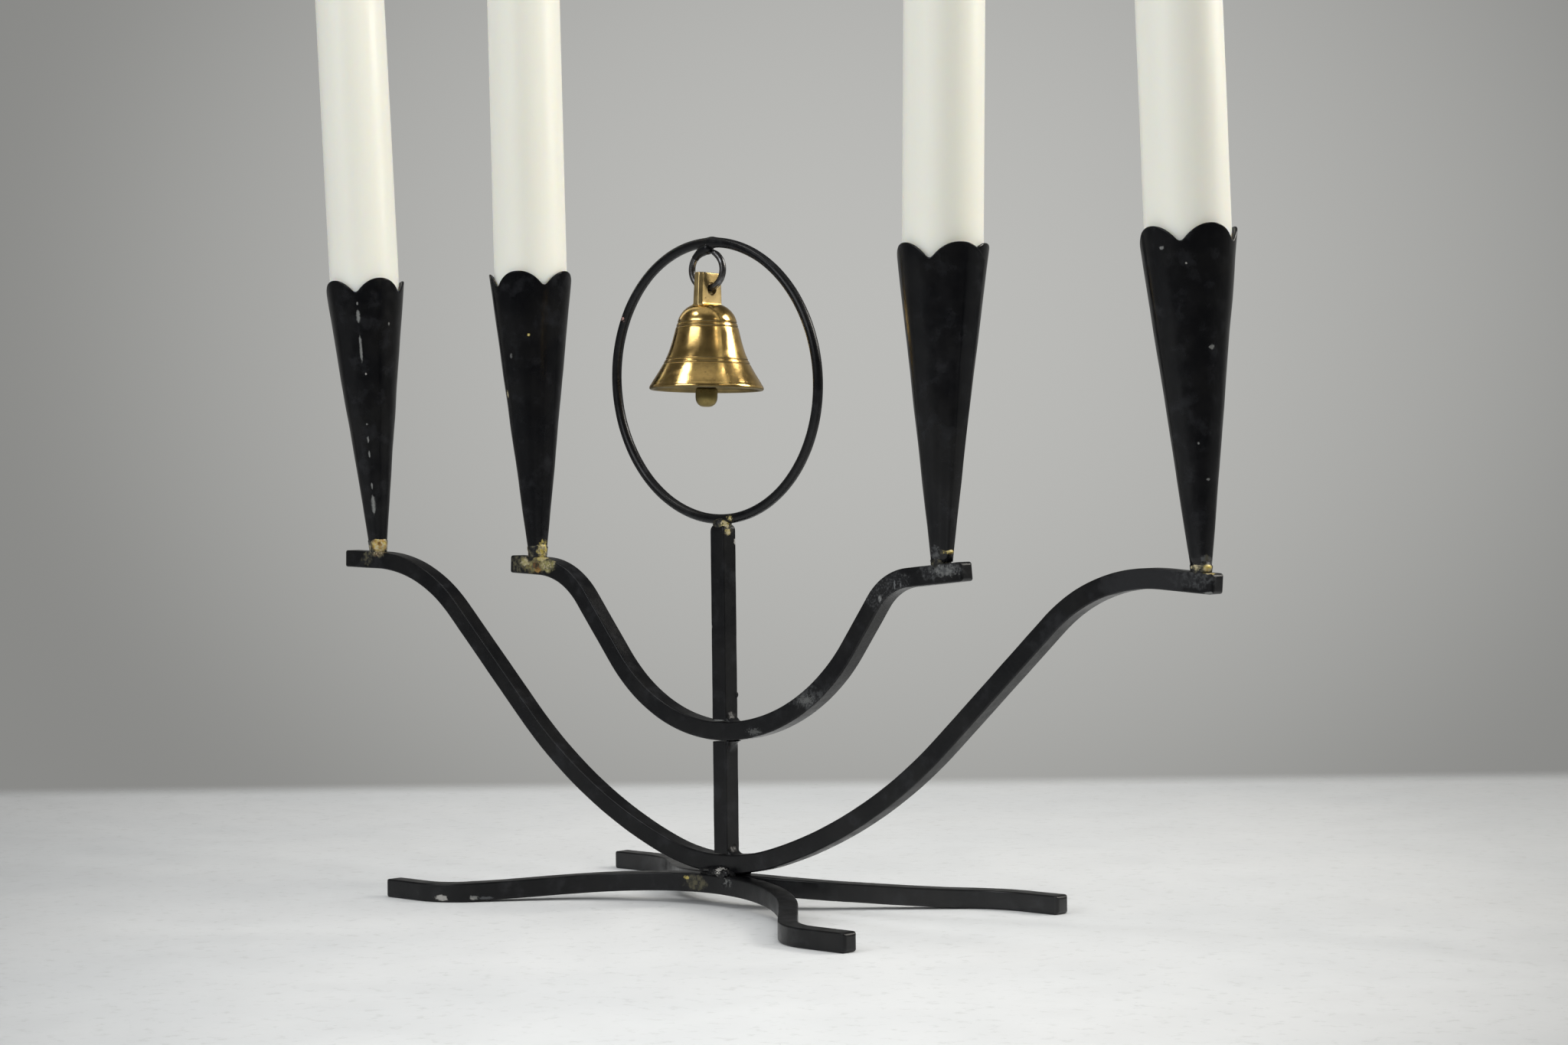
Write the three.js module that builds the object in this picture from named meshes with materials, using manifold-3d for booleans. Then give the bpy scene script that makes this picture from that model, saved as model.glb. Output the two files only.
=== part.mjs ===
// A four-light table candelabra of square iron bar, with a small brass bell in a wire hoop.
// Millimetres and degrees. X runs along the arms to the right, Y away from the front, Z up.
// The origin is on the table, under the stem.
import * as THREE from "three";
import { mergeVertices } from "three/addons/utils/BufferGeometryUtils.js";
import Module from "manifold-3d";

const wasm = await Module();
wasm.setup();

// Bar, wire and sheet stock
const barSide = 5.35;
const barEdge = 0.45;
const barEndBevel = 0.4;
const seat = 0.3;
const hoopWire = 2.9;
const hookWire = 2;
const stapleWire = 1;
const sheet = 0.8;

// The two base bars, bent in plan and welded back to back under the stem.
// Each arches from a foot that lies flat on the table up to the middle.
const baseLift = 3.6;
const frontBar = {
  way: -1,
  shift: -1.5,
  slope: 48.5,
  middleRadius: 64,
  slant: 21.6,
  footRadius: 17.4,
  foot: 14.2,
  flat: 14,
};
const backBar = {
  way: 1,
  shift: 1.4,
  slope: 41,
  middleRadius: 49.5,
  slant: 32,
  footRadius: 26.7,
  foot: 12.9,
  flat: 20,
};

// The outer arm: one bar, bent to a tight bowl, a long sweep, a straight rise and a level tip.
const outerLeft = {
  bowlRadius: 68,
  bowlTurn: 19.4,
  sweepRadius: 161,
  sweepTurn: 24.8,
  rise: 43,
  shoulderRadius: 53,
  tip: 16,
  tipTilt: 1.6,
};
const outerRight = {
  bowlRadius: 70,
  bowlTurn: 16.6,
  sweepRadius: 163,
  sweepTurn: 25.6,
  rise: 48.8,
  shoulderRadius: 47.5,
  tip: 16,
  tipTilt: -4,
};

// The inner arm: one bar, held between the two lengths of the stem.
const innerArmHeight = 49.8;
const innerLeft = {
  bowlRadius: 53.2,
  bowlTurn: 51,
  rise: 22.5,
  shoulderRadius: 24.6,
  tip: 12.7,
  tipTilt: 2.6,
};
const innerRight = {
  bowlRadius: 61.3,
  bowlTurn: 53.8,
  rise: 15.8,
  shoulderRadius: 17.1,
  tip: 19.2,
  tipTilt: 5.6,
};

// Stem: it stands a little to the right of the arms' lowest points.
const stemOffset = 0.6;
const stemTop = 108.5;
const stemTaper = 2.4;
const stemTopSide = 3.2;

// Bell hoop and the open ring that carries the bell
const hoopRadius = 39.4;
const hoopOffset = -0.2;
const hoopLean = 2.8;
const hookRadius = 5.3;
const hookOffset = -0.45;
const hookTurn = 9;
const hookBelow = 6.2;
const hookFixedEnd = 20;
const hookFreeEnd = 22;

// Bell
const bellHeight = 25.2;
const mouthRadius = 16.3;
const crownFlat = 1.8;
const shoulderRadius = 7.2;
const flankLean = 13;
const flankPull = 8;
const lipLean = 22;
const lipPull = 4.5;
const bellWall = 1.3;
const grooveDepth = 0.22;
const grooveWidth = 0.5;
const groovePitch = 1.15;
const grooveMargin = 0.4;
const grooveHeights = [8, 18.5];
const lugWidth = 8.8;
const lugThickness = 3.6;
const lugBevel = 0.9;
const lugTaper = 0.92;
const lugSink = 0.9;
const lugAboveHole = 4.6;
const lugBelowHole = 3.6;
const lugHoleRadius = 1.75;

// Clapper and the staple that it hangs from
const stapleReach = 1.6;
const stapleDrop = 4;
const clapperEye = 1.1;
const clapperLength = 21;
const clapperBall = 3.35;
const clapperNeck = 5.5;
const clapperRod = 1.1;

// Candle cups: cones rolled from sheet with a scalloped top edge, closed by a lap
const cupHeight = 85;
const cupFootRadius = 2.65;
const cupTopRadius = 12.55;
const scallops = 5;
const scallopDepth = 4.2;
const cupLap = 30;
const lapStep = 34;
const lapGap = 0.15;

// Where each cup stands on its arm, and how it leans and turns
const outerLeftCup = { inset: 13.35, stand: 0.6, lean: -3.4, turn: 149 };
const innerLeftCup = { inset: 9.6, stand: 0.3, lean: -1.1, turn: 103 };
const innerRightCup = { inset: 8.8, stand: 0.3, lean: 1.2, turn: -20 };
const outerRightCup = { inset: 5.5, stand: 0.9, lean: -2.1, turn: 139 };

// Candles
const candleRadius = 11;
const candleLength = 200;
const candleDepth = 34;
const candleFit = 0.35;
const candleTip = 5;
const candleTipRadius = 6;
const wickRadius = 0.8;
const wickGap = 0.3;
const wickReach = 9;
const wickBend = 2.2;

// Weld and braze beads: half their size along X, Y and Z
const baseBead = [6.5, 2, 2];
const footBead = [2.6, 2.3, 2.9];
const armBead = [2.4, 2.3, 3];
const hoopBead = [2.9, 2.7, 2.7];
const hoopBeadRight = 0.5;
const hoopBeadFront = 0.4;
const hookBead = [2.6, 1.9, 1.6];
const cupBead = [4.5, 4.2, 3.3];

// Fineness of the curves
const bendStep = 5;
const straightStep = 12;
const hoopSteps = 72;
const hookStep = 10;
const stapleStep = 22.5;
const wireSides = 8;
const domeAngles = [0, 19, 38, 57];
const flankSteps = 7;
const bellSteps = 32;
const drillSteps = 24;
const eyeSteps = 20;
const ballAngles = [-90, -65, -40, -15, 10];
const clapperSteps = 20;
const scallopSteps = 11;
const candleTipAngles = [0, 30, 60, 90];
const candleSteps = 28;
const wickShares = [0, 0.35, 0.7, 1];
const wickSides = 6;
const beadSteps = [12, 8];
const coneSteps = 24;

const fullTurn = 360;

const rad = THREE.MathUtils.degToRad;
const point = (x, y, z) => new THREE.Vector3(x, y, z);

// Solids from rings of points

// Joins rings of equal count into one closed solid. Each ring runs anticlockwise
// when it is seen from the next one; a looped solid meets its own first ring.
function loft(rings, looped = false) {
  const count = rings[0].length;
  const corners = rings.flat().flatMap((p) => [p.x, p.y, p.z]);
  const faces = [];
  const spans = looped ? rings.length : rings.length - 1;
  for (let i = 0; i < spans; i += 1) {
    const here = i * count;
    const next = ((i + 1) % rings.length) * count;
    for (let j = 0; j < count; j += 1) {
      const k = (j + 1) % count;
      faces.push(here + j, here + k, next + k);
      faces.push(here + j, next + k, next + j);
    }
  }
  const last = (rings.length - 1) * count;
  for (let j = 1; j + 1 < count && !looped; j += 1) {
    faces.push(0, j + 1, j);
    faces.push(last, last + j, last + j + 1);
  }
  const geometry = new THREE.BufferGeometry();
  geometry.setAttribute("position", new THREE.Float32BufferAttribute(corners, 3));
  geometry.setIndex(faces);
  geometry.computeVertexNormals();
  return geometry;
}

// Carries a flat section through stations { at, side, up, scale }.
function sweep(stations, section, looped = false) {
  const rings = stations.map(({ at, side, up, scale = 1 }) =>
    section.map(([s, u]) =>
      at.clone().addScaledVector(side, s * scale).addScaledVector(up, u * scale),
    ),
  );
  return loft(rings, looped);
}

function squareSection(side, edge) {
  const half = side / 2;
  const flat = half - edge;
  return [
    [half, flat],
    [flat, half],
    [-flat, half],
    [-half, flat],
    [-half, -flat],
    [-flat, -half],
    [flat, -half],
    [half, -flat],
  ];
}

function roundSection(radius, sides) {
  return Array.from({ length: sides }, (_, i) => {
    const a = (2 * Math.PI * i) / sides;
    return [radius * Math.cos(a), radius * Math.sin(a)];
  });
}

// A square bar through its stations, with bevelled ends; grow thickens and lengthens it all round.
function squareBar(stations, grow = 0) {
  const way = (s) => s.side.clone().cross(s.up);
  const shifted = (s, distance, scale) => ({
    ...s,
    at: s.at.clone().addScaledVector(way(s), distance),
    scale,
  });
  const side = barSide + 2 * grow;
  const small = 1 - (2 * barEndBevel) / side;
  const first = stations[0];
  const last = stations[stations.length - 1];
  const bevelled = [
    shifted(first, -grow, small),
    shifted(first, barEndBevel - grow, 1),
    ...stations.slice(1, -1),
    shifted(last, grow - barEndBevel, 1),
    shifted(last, grow, small),
  ];
  return sweep(bevelled, squareSection(side, barEdge));
}

// Flat paths

// Walks straights { ahead } and bends { turn, radius } from the origin along +x.
function walk(moves) {
  const path = [{ x: 0, y: 0, heading: 0, along: 0 }];
  for (const { ahead = 0, turn = 0, radius = 0 } of moves) {
    const start = path[path.length - 1];
    const bend = rad(turn);
    const curve = Math.sign(turn) * radius;
    const length = ahead + Math.abs(bend) * radius;
    const steps = Math.ceil(ahead / straightStep + Math.abs(turn) / bendStep);
    for (let i = 1; i <= steps; i += 1) {
      const share = i / steps;
      const heading = start.heading + bend * share;
      const forward = ahead * share;
      const sine = Math.sin(heading) - Math.sin(start.heading);
      const cosine = Math.cos(start.heading) - Math.cos(heading);
      path.push({
        x: start.x + forward * Math.cos(heading) + curve * sine,
        y: start.y + forward * Math.sin(heading) + curve * cosine,
        heading,
        along: start.along + length * share,
      });
    }
  }
  return path;
}

// Joins a left and a right half, both walked outwards, into one path from left to right.
function joinHalves(left, right) {
  const turned = left.slice(1).reverse().map((p) => ({
    x: -p.x,
    y: p.y,
    heading: -p.heading,
    along: -p.along,
  }));
  return [...turned, ...right];
}

// An arm without a sweep goes from its bowl straight into its rise.
function armHalf(half) {
  const { bowlTurn, sweepTurn = 0, sweepRadius = 0 } = half;
  return walk([
    { turn: bowlTurn, radius: half.bowlRadius },
    { turn: sweepTurn, radius: sweepRadius },
    { ahead: half.rise },
    { turn: half.tipTilt - bowlTurn - sweepTurn, radius: half.shoulderRadius },
    { ahead: half.tip },
  ]);
}

function baseHalf({ slope, middleRadius, slant, footRadius, foot }) {
  return walk([
    { turn: slope, radius: middleRadius },
    { ahead: slant },
    { turn: -slope, radius: footRadius },
    { ahead: foot },
  ]);
}

// Base bars

const baseTop = baseLift + barSide;
const outerArmHeight = baseTop + seat + barSide / 2;

function baseStations(bar) {
  const half = baseHalf(bar);
  const span = half[half.length - 1].along - bar.flat;
  return joinHalves(half, half).map(({ x, y, heading, along }) => {
    const share = Math.min(1, Math.abs(along) / span);
    const lift = (baseLift * (1 + Math.cos(Math.PI * share))) / 2;
    const reach = (barSide + seat) / 2 + y;
    return {
      at: point(x + bar.shift, bar.way * reach, lift + barSide / 2),
      side: point(-bar.way * Math.sin(heading), Math.cos(heading), 0),
      up: point(0, 0, 1),
    };
  });
}

// Arms

const armStations = (left, right, height) =>
  joinHalves(armHalf(left), armHalf(right)).map(({ x, y, heading }) => ({
    at: point(x, 0, height + y),
    side: point(0, 1, 0),
    up: point(-Math.sin(heading), 0, Math.cos(heading)),
  }));

const outerStations = armStations(outerLeft, outerRight, outerArmHeight);
const innerStations = armStations(innerLeft, innerRight, innerArmHeight);

// Stem lengths

const straightUp = (z, scale = 1) => ({
  at: point(stemOffset, 0, z),
  side: point(1, 0, 0),
  up: point(0, 1, 0),
  scale,
});

const lowerStemFoot = outerArmHeight + barSide / 2 + seat;
const lowerStemTop = innerArmHeight - barSide / 2 - seat;
const upperStemFoot = innerArmHeight + barSide / 2 + seat;

const lowerStemStations = [straightUp(lowerStemFoot), straightUp(lowerStemTop)];

// The upper length is ground to a blunt point under the hoop.
function upperStem(grow = 0) {
  const side = barSide + 2 * grow;
  const small = (stemTopSide + 2 * grow) / side;
  const stations = [
    straightUp(upperStemFoot - grow),
    straightUp(stemTop - stemTaper),
    straightUp(stemTop + grow, small),
  ];
  return sweep(stations, squareSection(side, barEdge));
}

// Bell hoop

const hoopBottom = stemTop + seat + hoopWire / 2;
const hoopPlane = point(0, -Math.sin(rad(hoopLean)), Math.cos(rad(hoopLean)));

// A point on the hoop's centre line, by the angle from its top, clockwise from the front.
function onHoop(angle) {
  const spoke = point(Math.sin(angle), 0, 0).addScaledVector(hoopPlane, Math.cos(angle));
  const centre = point(hoopOffset, 0, hoopBottom).addScaledVector(hoopPlane, hoopRadius);
  return { at: centre.addScaledVector(spoke, hoopRadius), spoke };
}

function hoop(grow = 0) {
  const across = point(1, 0, 0).cross(hoopPlane);
  const stations = Array.from({ length: hoopSteps }, (_, i) => {
    const { at, spoke } = onHoop((2 * Math.PI * i) / hoopSteps);
    return { at, side: spoke, up: across };
  });
  return sweep(stations, roundSection(hoopWire / 2 + grow, wireSides), true);
}

// Hook: an open ring in its own upright plane, turned a little from the hoop's plane

const hang = onHoop(Math.asin(hookOffset / hoopRadius)).at;
const hookCentre = hang.clone().add(point(0, 0, -hoopWire / 2 - hookBelow));

// An arc of wire in the XZ plane round the origin; angles run clockwise from the top.
function arcStations(radius, from, to, step) {
  const steps = Math.ceil((to - from) / step);
  return Array.from({ length: steps + 1 }, (_, i) => {
    const a = rad(from + ((to - from) * i) / steps);
    const spoke = point(Math.sin(a), 0, Math.cos(a));
    return { at: spoke.clone().multiplyScalar(radius), side: spoke, up: point(0, -1, 0) };
  });
}

const hook = (grow = 0) =>
  sweep(
    arcStations(hookRadius, hookFreeEnd, fullTurn - hookFixedEnd, hookStep),
    roundSection(hookWire / 2 + grow, wireSides),
  );

// Bell, in a frame with its mouth at height 0 and its lug's hole along x

const lean = (degrees) => new THREE.Vector2(Math.sin(rad(degrees)), -Math.cos(rad(degrees)));

// The bell's flank from shoulder to lip, drawn in by a wall thickness.
function bellSide(inset) {
  const shoulderCentre = new THREE.Vector2(crownFlat, bellHeight - shoulderRadius);
  const dome = [...domeAngles, 90 - flankLean].map((angle) => {
    const a = rad(90 - angle);
    const r = shoulderRadius - inset;
    return new THREE.Vector2(r * Math.cos(a), r * Math.sin(a)).add(shoulderCentre);
  });
  const start = dome[dome.length - 1];
  const end = new THREE.Vector2(mouthRadius - inset / Math.cos(rad(lipLean)), 0);
  const flank = new THREE.CubicBezierCurve(
    start,
    start.clone().addScaledVector(lean(flankLean), flankPull),
    end.clone().addScaledVector(lean(lipLean), -lipPull),
    end,
  );
  return { dome, flank };
}

// Cuts a pair of fine V grooves round the flank at each groove height.
function groovedFlank(flank, steps) {
  const plain = flank.getPoints(steps).slice(1);
  const centres = grooveHeights.flatMap((h) => [h + groovePitch / 2, h - groovePitch / 2]);
  const grooves = centres.flatMap((height) => {
    const radiusAt = (h) => radiusOn(flank, h);
    return [
      new THREE.Vector2(radiusAt(height + grooveWidth / 2), height + grooveWidth / 2),
      new THREE.Vector2(radiusAt(height) - grooveDepth, height),
      new THREE.Vector2(radiusAt(height - grooveWidth / 2), height - grooveWidth / 2),
    ];
  });
  const nearGroove = (p) => centres.some((h) => Math.abs(p.y - h) < grooveMargin);
  return [...plain.filter((p) => !nearGroove(p)), ...grooves].sort((a, b) => b.y - a.y);
}

function radiusOn(curve, height) {
  let low = 0;
  let high = 1;
  for (let i = 0; i < 30; i += 1) {
    const middle = (low + high) / 2;
    if (curve.getPoint(middle).y > height) low = middle;
    else high = middle;
  }
  return curve.getPoint(low).x;
}

function revolve(profile, steps) {
  return new THREE.LatheGeometry(profile, steps).rotateX(Math.PI / 2);
}

function bellShell() {
  const outer = bellSide(0);
  const inner = bellSide(bellWall);
  const innerLine = [...inner.dome, ...inner.flank.getPoints(flankSteps).slice(1)];
  const outerLine = [...outer.dome, ...groovedFlank(outer.flank, flankSteps)].reverse();
  const axis = (p) => new THREE.Vector2(0, p.y);
  const profile = [axis(innerLine[0]), ...innerLine, ...outerLine];
  profile.push(axis(profile[profile.length - 1]));
  return revolve(profile, bellSteps);
}

const holeHeight = bellHeight + lugBelowHole;

function bell() {
  const bevelled = [
    [lugThickness / 2, lugWidth / 2 - lugBevel],
    [lugThickness / 2 - lugBevel, lugWidth / 2],
    [lugBevel - lugThickness / 2, lugWidth / 2],
    [-lugThickness / 2, lugWidth / 2 - lugBevel],
    [-lugThickness / 2, lugBevel - lugWidth / 2],
    [lugBevel - lugThickness / 2, -lugWidth / 2],
    [lugThickness / 2 - lugBevel, -lugWidth / 2],
    [lugThickness / 2, lugBevel - lugWidth / 2],
  ];
  const level = (z, scale) => ({
    at: point(0, 0, z),
    side: point(1, 0, 0),
    up: point(0, 1, 0),
    scale,
  });
  const lugTop = level(holeHeight + lugAboveHole, lugTaper);
  const lug = sweep([level(bellHeight - lugSink, 1), lugTop], bevelled);
  const depth = 2 * lugThickness;
  const drill = new THREE.CylinderGeometry(lugHoleRadius, lugHoleRadius, depth, drillSteps);
  drill.rotateZ(Math.PI / 2).translate(0, 0, holeHeight);
  return fromSolid(toSolid(bellShell()).add(toSolid(lug)).subtract(toSolid(drill)));
}

// Staple and clapper, in the bell's frame

const stapleTop = bellHeight - bellWall - seat;
const staplePivot = stapleTop - stapleDrop;

function staple() {
  const bend = arcStations(stapleReach, 90, 270, stapleStep).map((s) => ({
    ...s,
    at: s.at.add(point(0, 0, staplePivot + stapleReach)),
  }));
  const leg = (x, side) => ({ at: point(x, 0, stapleTop), side, up: point(0, -1, 0) });
  const stations = [
    leg(stapleReach, point(1, 0, 0)),
    ...bend,
    leg(-stapleReach, point(-1, 0, 0)),
  ];
  return sweep(stations, roundSection(stapleWire / 2, wireSides));
}

function clapper() {
  const eyeRadius = clapperEye + stapleWire / 2;
  const eyeCentre = staplePivot - (clapperEye - stapleWire / 2 - seat);
  const eye = new THREE.TorusGeometry(eyeRadius, stapleWire / 2, wireSides, eyeSteps);
  eye.rotateY(Math.PI / 2).translate(0, 0, eyeCentre);
  const ballCentre = staplePivot - clapperLength;
  const ball = ballAngles.map((angle) => {
    const a = rad(angle);
    return new THREE.Vector2(clapperBall * Math.cos(a), ballCentre + clapperBall * Math.sin(a));
  });
  const neck = ballCentre + clapperNeck;
  const rodTop = eyeCentre - clapperEye - stapleWire / 2;
  const profile = [
    ...ball,
    new THREE.Vector2(clapperRod / 2, neck),
    new THREE.Vector2(clapperRod / 2, rodTop),
    new THREE.Vector2(0, rodTop),
  ];
  profile[0].x = 0;
  return fromSolid(toSolid(revolve(profile, clapperSteps)).add(toSolid(eye)));
}

// Candle cups, in a frame with the foot at height 0

const cupRadiusAt = (z) => cupFootRadius + ((cupTopRadius - cupFootRadius) * z) / cupHeight;

// The sheet is wound from its inner edge at angle 0 to its outer edge past a full turn.
function cup() {
  const sweepAngle = fullTurn + cupLap;
  const scallop = sweepAngle / scallops;
  const steps = scallops * scallopSteps;
  const rings = Array.from({ length: steps + 1 }, (_, i) => {
    const angle = (sweepAngle * i) / steps;
    const share = (angle % scallop) / scallop;
    const top = cupHeight - scallopDepth * (2 * share - 1) ** 2;
    const climb = THREE.MathUtils.smoothstep(angle, fullTurn - lapStep, fullTurn);
    const lift = climb * (sheet + lapGap);
    const spoke = point(Math.cos(rad(angle)), Math.sin(rad(angle)), 0);
    const at = (radius, z) => spoke.clone().multiplyScalar(radius + lift).setZ(z);
    return [
      at(cupRadiusAt(0) - sheet, 0),
      at(cupRadiusAt(top) - sheet, top),
      at(cupRadiusAt(top), top),
      at(cupRadiusAt(0), 0),
    ];
  });
  return loft(rings);
}

// Candle: a straight body on a butt tapered to the cone, bored for its wick

const candleFoot = cupHeight - candleDepth;
const candleSlope = (cupTopRadius - cupFootRadius) / cupHeight;
const candleButtRadius = cupRadiusAt(candleFoot) - sheet - candleFit;
const candleShoulder = candleFoot + (candleRadius - candleButtRadius) / candleSlope;
const candleTop = candleFoot + candleLength;

function candle() {
  const bore = wickRadius + wickGap;
  const tip = candleTipAngles.map((angle) => [
    candleTipRadius + (candleRadius - candleTipRadius) * Math.cos(rad(angle)),
    candleTop - candleTip + candleTip * Math.sin(rad(angle)),
  ]);
  const profile = [
    [bore, candleFoot],
    [candleButtRadius, candleFoot],
    [candleRadius, candleShoulder],
    ...tip,
    [bore, candleTop],
    [bore, candleFoot],
  ];
  return revolve(profile.map(([r, z]) => new THREE.Vector2(r, z)), candleSteps);
}

function wick() {
  const bend = wickShares.map((share) => ({
    at: point(wickBend * share ** 2, 0, candleTop + wickReach * share),
    side: point(1, 0, 0),
    up: point(0, 1, 0),
  }));
  const foot = { ...bend[0], at: point(0, 0, candleFoot) };
  return sweep([foot, ...bend], roundSection(wickRadius, wickSides));
}

// Boolean helpers

function toSolid(geometry) {
  const bare = geometry.clone();
  bare.deleteAttribute("normal");
  bare.deleteAttribute("uv");
  const merged = mergeVertices(bare, 1e-4);
  return new wasm.Manifold(
    new wasm.Mesh({
      numProp: 3,
      vertProperties: merged.attributes.position.array,
      triVerts: new Uint32Array(merged.index.array),
    }),
  );
}

function fromSolid(solid) {
  const { vertProperties, triVerts } = solid.getMesh();
  const geometry = new THREE.BufferGeometry();
  geometry.setAttribute("position", new THREE.BufferAttribute(vertProperties, 3));
  geometry.setIndex(new THREE.BufferAttribute(triVerts, 1));
  geometry.computeVertexNormals();
  return geometry;
}

// A bead is an egg of weld metal, cut back by the grown outlines of the pieces that it joins.
function bead(centre, [x, y, z], neighbours) {
  const egg = new THREE.SphereGeometry(1, ...beadSteps).scale(x, y, z);
  egg.translate(...centre.toArray());
  const cut = neighbours.reduce((left, other) => left.subtract(toSolid(other)), toSolid(egg));
  const bodies = cut.decompose().sort((a, b) => b.volume() - a.volume());
  return fromSolid(bodies[0]);
}

// Finishes

const finish = (color, roughness, metalness) =>
  new THREE.MeshStandardMaterial({ color, roughness, metalness });
const lacquer = () => finish(0x15161a, 0.38, 0);
const steel = () => finish(0x3d3d3f, 0.32, 1);
const brass = () => finish(0xb98a3c, 0.2, 1);
const braze = () => finish(0x9a7b35, 0.6, 0.6);
const wax = () => finish(0xf1efe6, 0.45, 0);
const cotton = () => finish(0xe8e2d2, 0.9, 0);

// Assembly

const candelabra = new THREE.Group();

function add(parent, name, geometry, material) {
  const mesh = new THREE.Mesh(geometry, material);
  mesh.name = name;
  parent.add(mesh);
  return mesh;
}

const frontStations = baseStations(frontBar);
const backStations = baseStations(backBar);
add(candelabra, "front_base_bar", squareBar(frontStations), lacquer());
add(candelabra, "back_base_bar", squareBar(backStations), lacquer());
add(candelabra, "outer_arm", squareBar(outerStations), lacquer());
add(candelabra, "lower_stem", squareBar(lowerStemStations), lacquer());
add(candelabra, "inner_arm", squareBar(innerStations), lacquer());
add(candelabra, "upper_stem", upperStem(), lacquer());
add(candelabra, "bell_hoop", hoop(), lacquer());

// Beads along both sides of the outer arm's foot
const grownOuterArm = squareBar(outerStations, seat);
const grownInnerArm = squareBar(innerStations, seat);
const grownLowerStem = squareBar(lowerStemStations, seat);
const grownBase = [squareBar(frontStations, seat), squareBar(backStations, seat)];
for (const [name, way] of [["front", -1], ["back", 1]]) {
  const centre = point(0, way * (barSide / 2 + seat), baseTop + seat);
  const geometry = bead(centre, baseBead, [grownOuterArm, ...grownBase]);
  add(candelabra, `${name}_base_weld`, geometry, lacquer());
}

// Beads on the right of the stem
const stemFace = stemOffset + barSide / 2;
add(
  candelabra,
  "stem_foot_weld",
  bead(point(stemFace, 0, lowerStemFoot), footBead, [grownOuterArm, grownLowerStem]),
  lacquer(),
);
add(
  candelabra,
  "lower_arm_weld",
  bead(point(stemFace, 0, lowerStemTop), armBead, [grownInnerArm, grownLowerStem]),
  lacquer(),
);
add(
  candelabra,
  "upper_arm_weld",
  bead(point(stemFace, 0, upperStemFoot), armBead, [grownInnerArm, upperStem(seat)]),
  lacquer(),
);
const hoopBeadCentre = point(stemOffset + hoopBeadRight, -hoopBeadFront, stemTop);
add(
  candelabra,
  "hoop_braze",
  bead(hoopBeadCentre, hoopBead, [hoop(seat), upperStem(seat)]),
  braze(),
);

// The hook's ring, and under it the bell, whose hole lies straight along X
const ringFrame = new THREE.Group();
ringFrame.position.copy(hookCentre);
ringFrame.rotation.z = rad(hookTurn);
ringFrame.updateMatrix();
candelabra.add(ringFrame);
add(ringFrame, "bell_hook", hook(), steel());

const fixedEnd = arcStations(hookRadius, fullTurn - hookFixedEnd, fullTurn, hookStep)[0].at;
const hoopFromRing = hoop(seat).applyMatrix4(ringFrame.matrix.clone().invert());
const hookBeadCentre = point(fixedEnd.x, 0, hookBelow);
add(ringFrame, "hook_weld", bead(hookBeadCentre, hookBead, [hoopFromRing, hook(seat)]), lacquer());

// The hole's top rests on the ring's lowest wire.
const hangSlack = lugHoleRadius - hookWire / 2 - seat;
const bellFrame = new THREE.Group();
bellFrame.position.z = -hookRadius - hangSlack / 2 - holeHeight;
bellFrame.rotation.z = -rad(hookTurn);
ringFrame.add(bellFrame);
add(bellFrame, "bell", bell(), brass());
add(bellFrame, "clapper_staple", staple(), brass());
add(bellFrame, "clapper", clapper(), brass());

// Cups stand on the arms' tips, each with its candle, wick and braze bead
function addCup(place, stations, tipEnd, grownArm, { inset, stand, lean: tilt, turn }) {
  const [end, near] = tipEnd < 0 ? stations : stations.slice().reverse();
  const inwards = near.at.clone().sub(end.at).normalize();
  const frame = new THREE.Group();
  frame.rotation.y = rad(tilt);
  const slant = point(0, 0, 1).applyEuler(frame.rotation).angleTo(end.up);
  const dip = (cupFootRadius + sheet + lapGap) * Math.sin(slant);
  frame.position.copy(end.at).addScaledVector(inwards, inset);
  frame.position.addScaledVector(end.up, barSide / 2 + stand + dip);
  frame.updateMatrix();
  candelabra.add(frame);
  const turned = new THREE.Group();
  turned.rotation.z = rad(turn);
  frame.add(turned);
  add(turned, `candle_cup_${place}`, cup(), lacquer());
  add(turned, `candle_${place}`, candle(), wax());
  add(turned, `wick_${place}`, wick(), cotton());
  const armHere = grownArm.clone().applyMatrix4(frame.matrix.clone().invert());
  const wall = sheet + lapGap + seat;
  const radii = [cupTopRadius + wall, cupFootRadius + wall];
  const cone = new THREE.CylinderGeometry(...radii, cupHeight, coneSteps);
  cone.rotateX(Math.PI / 2).translate(0, 0, cupHeight / 2 - seat);
  add(frame, `cup_braze_${place}`, bead(point(0, 0, 0), cupBead, [armHere, cone]), braze());
}

addCup("outer_left", outerStations, -1, grownOuterArm, outerLeftCup);
addCup("inner_left", innerStations, -1, grownInnerArm, innerLeftCup);
addCup("inner_right", innerStations, 1, grownInnerArm, innerRightCup);
addCup("outer_right", outerStations, 1, grownOuterArm, outerRightCup);

export default candelabra;
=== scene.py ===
from math import atan2, ceil, copysign, cos, degrees, exp, hypot, pi, radians, remainder, sin, sqrt

import bpy
import numpy as np
from mathutils import Matrix, Vector, noise


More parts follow.
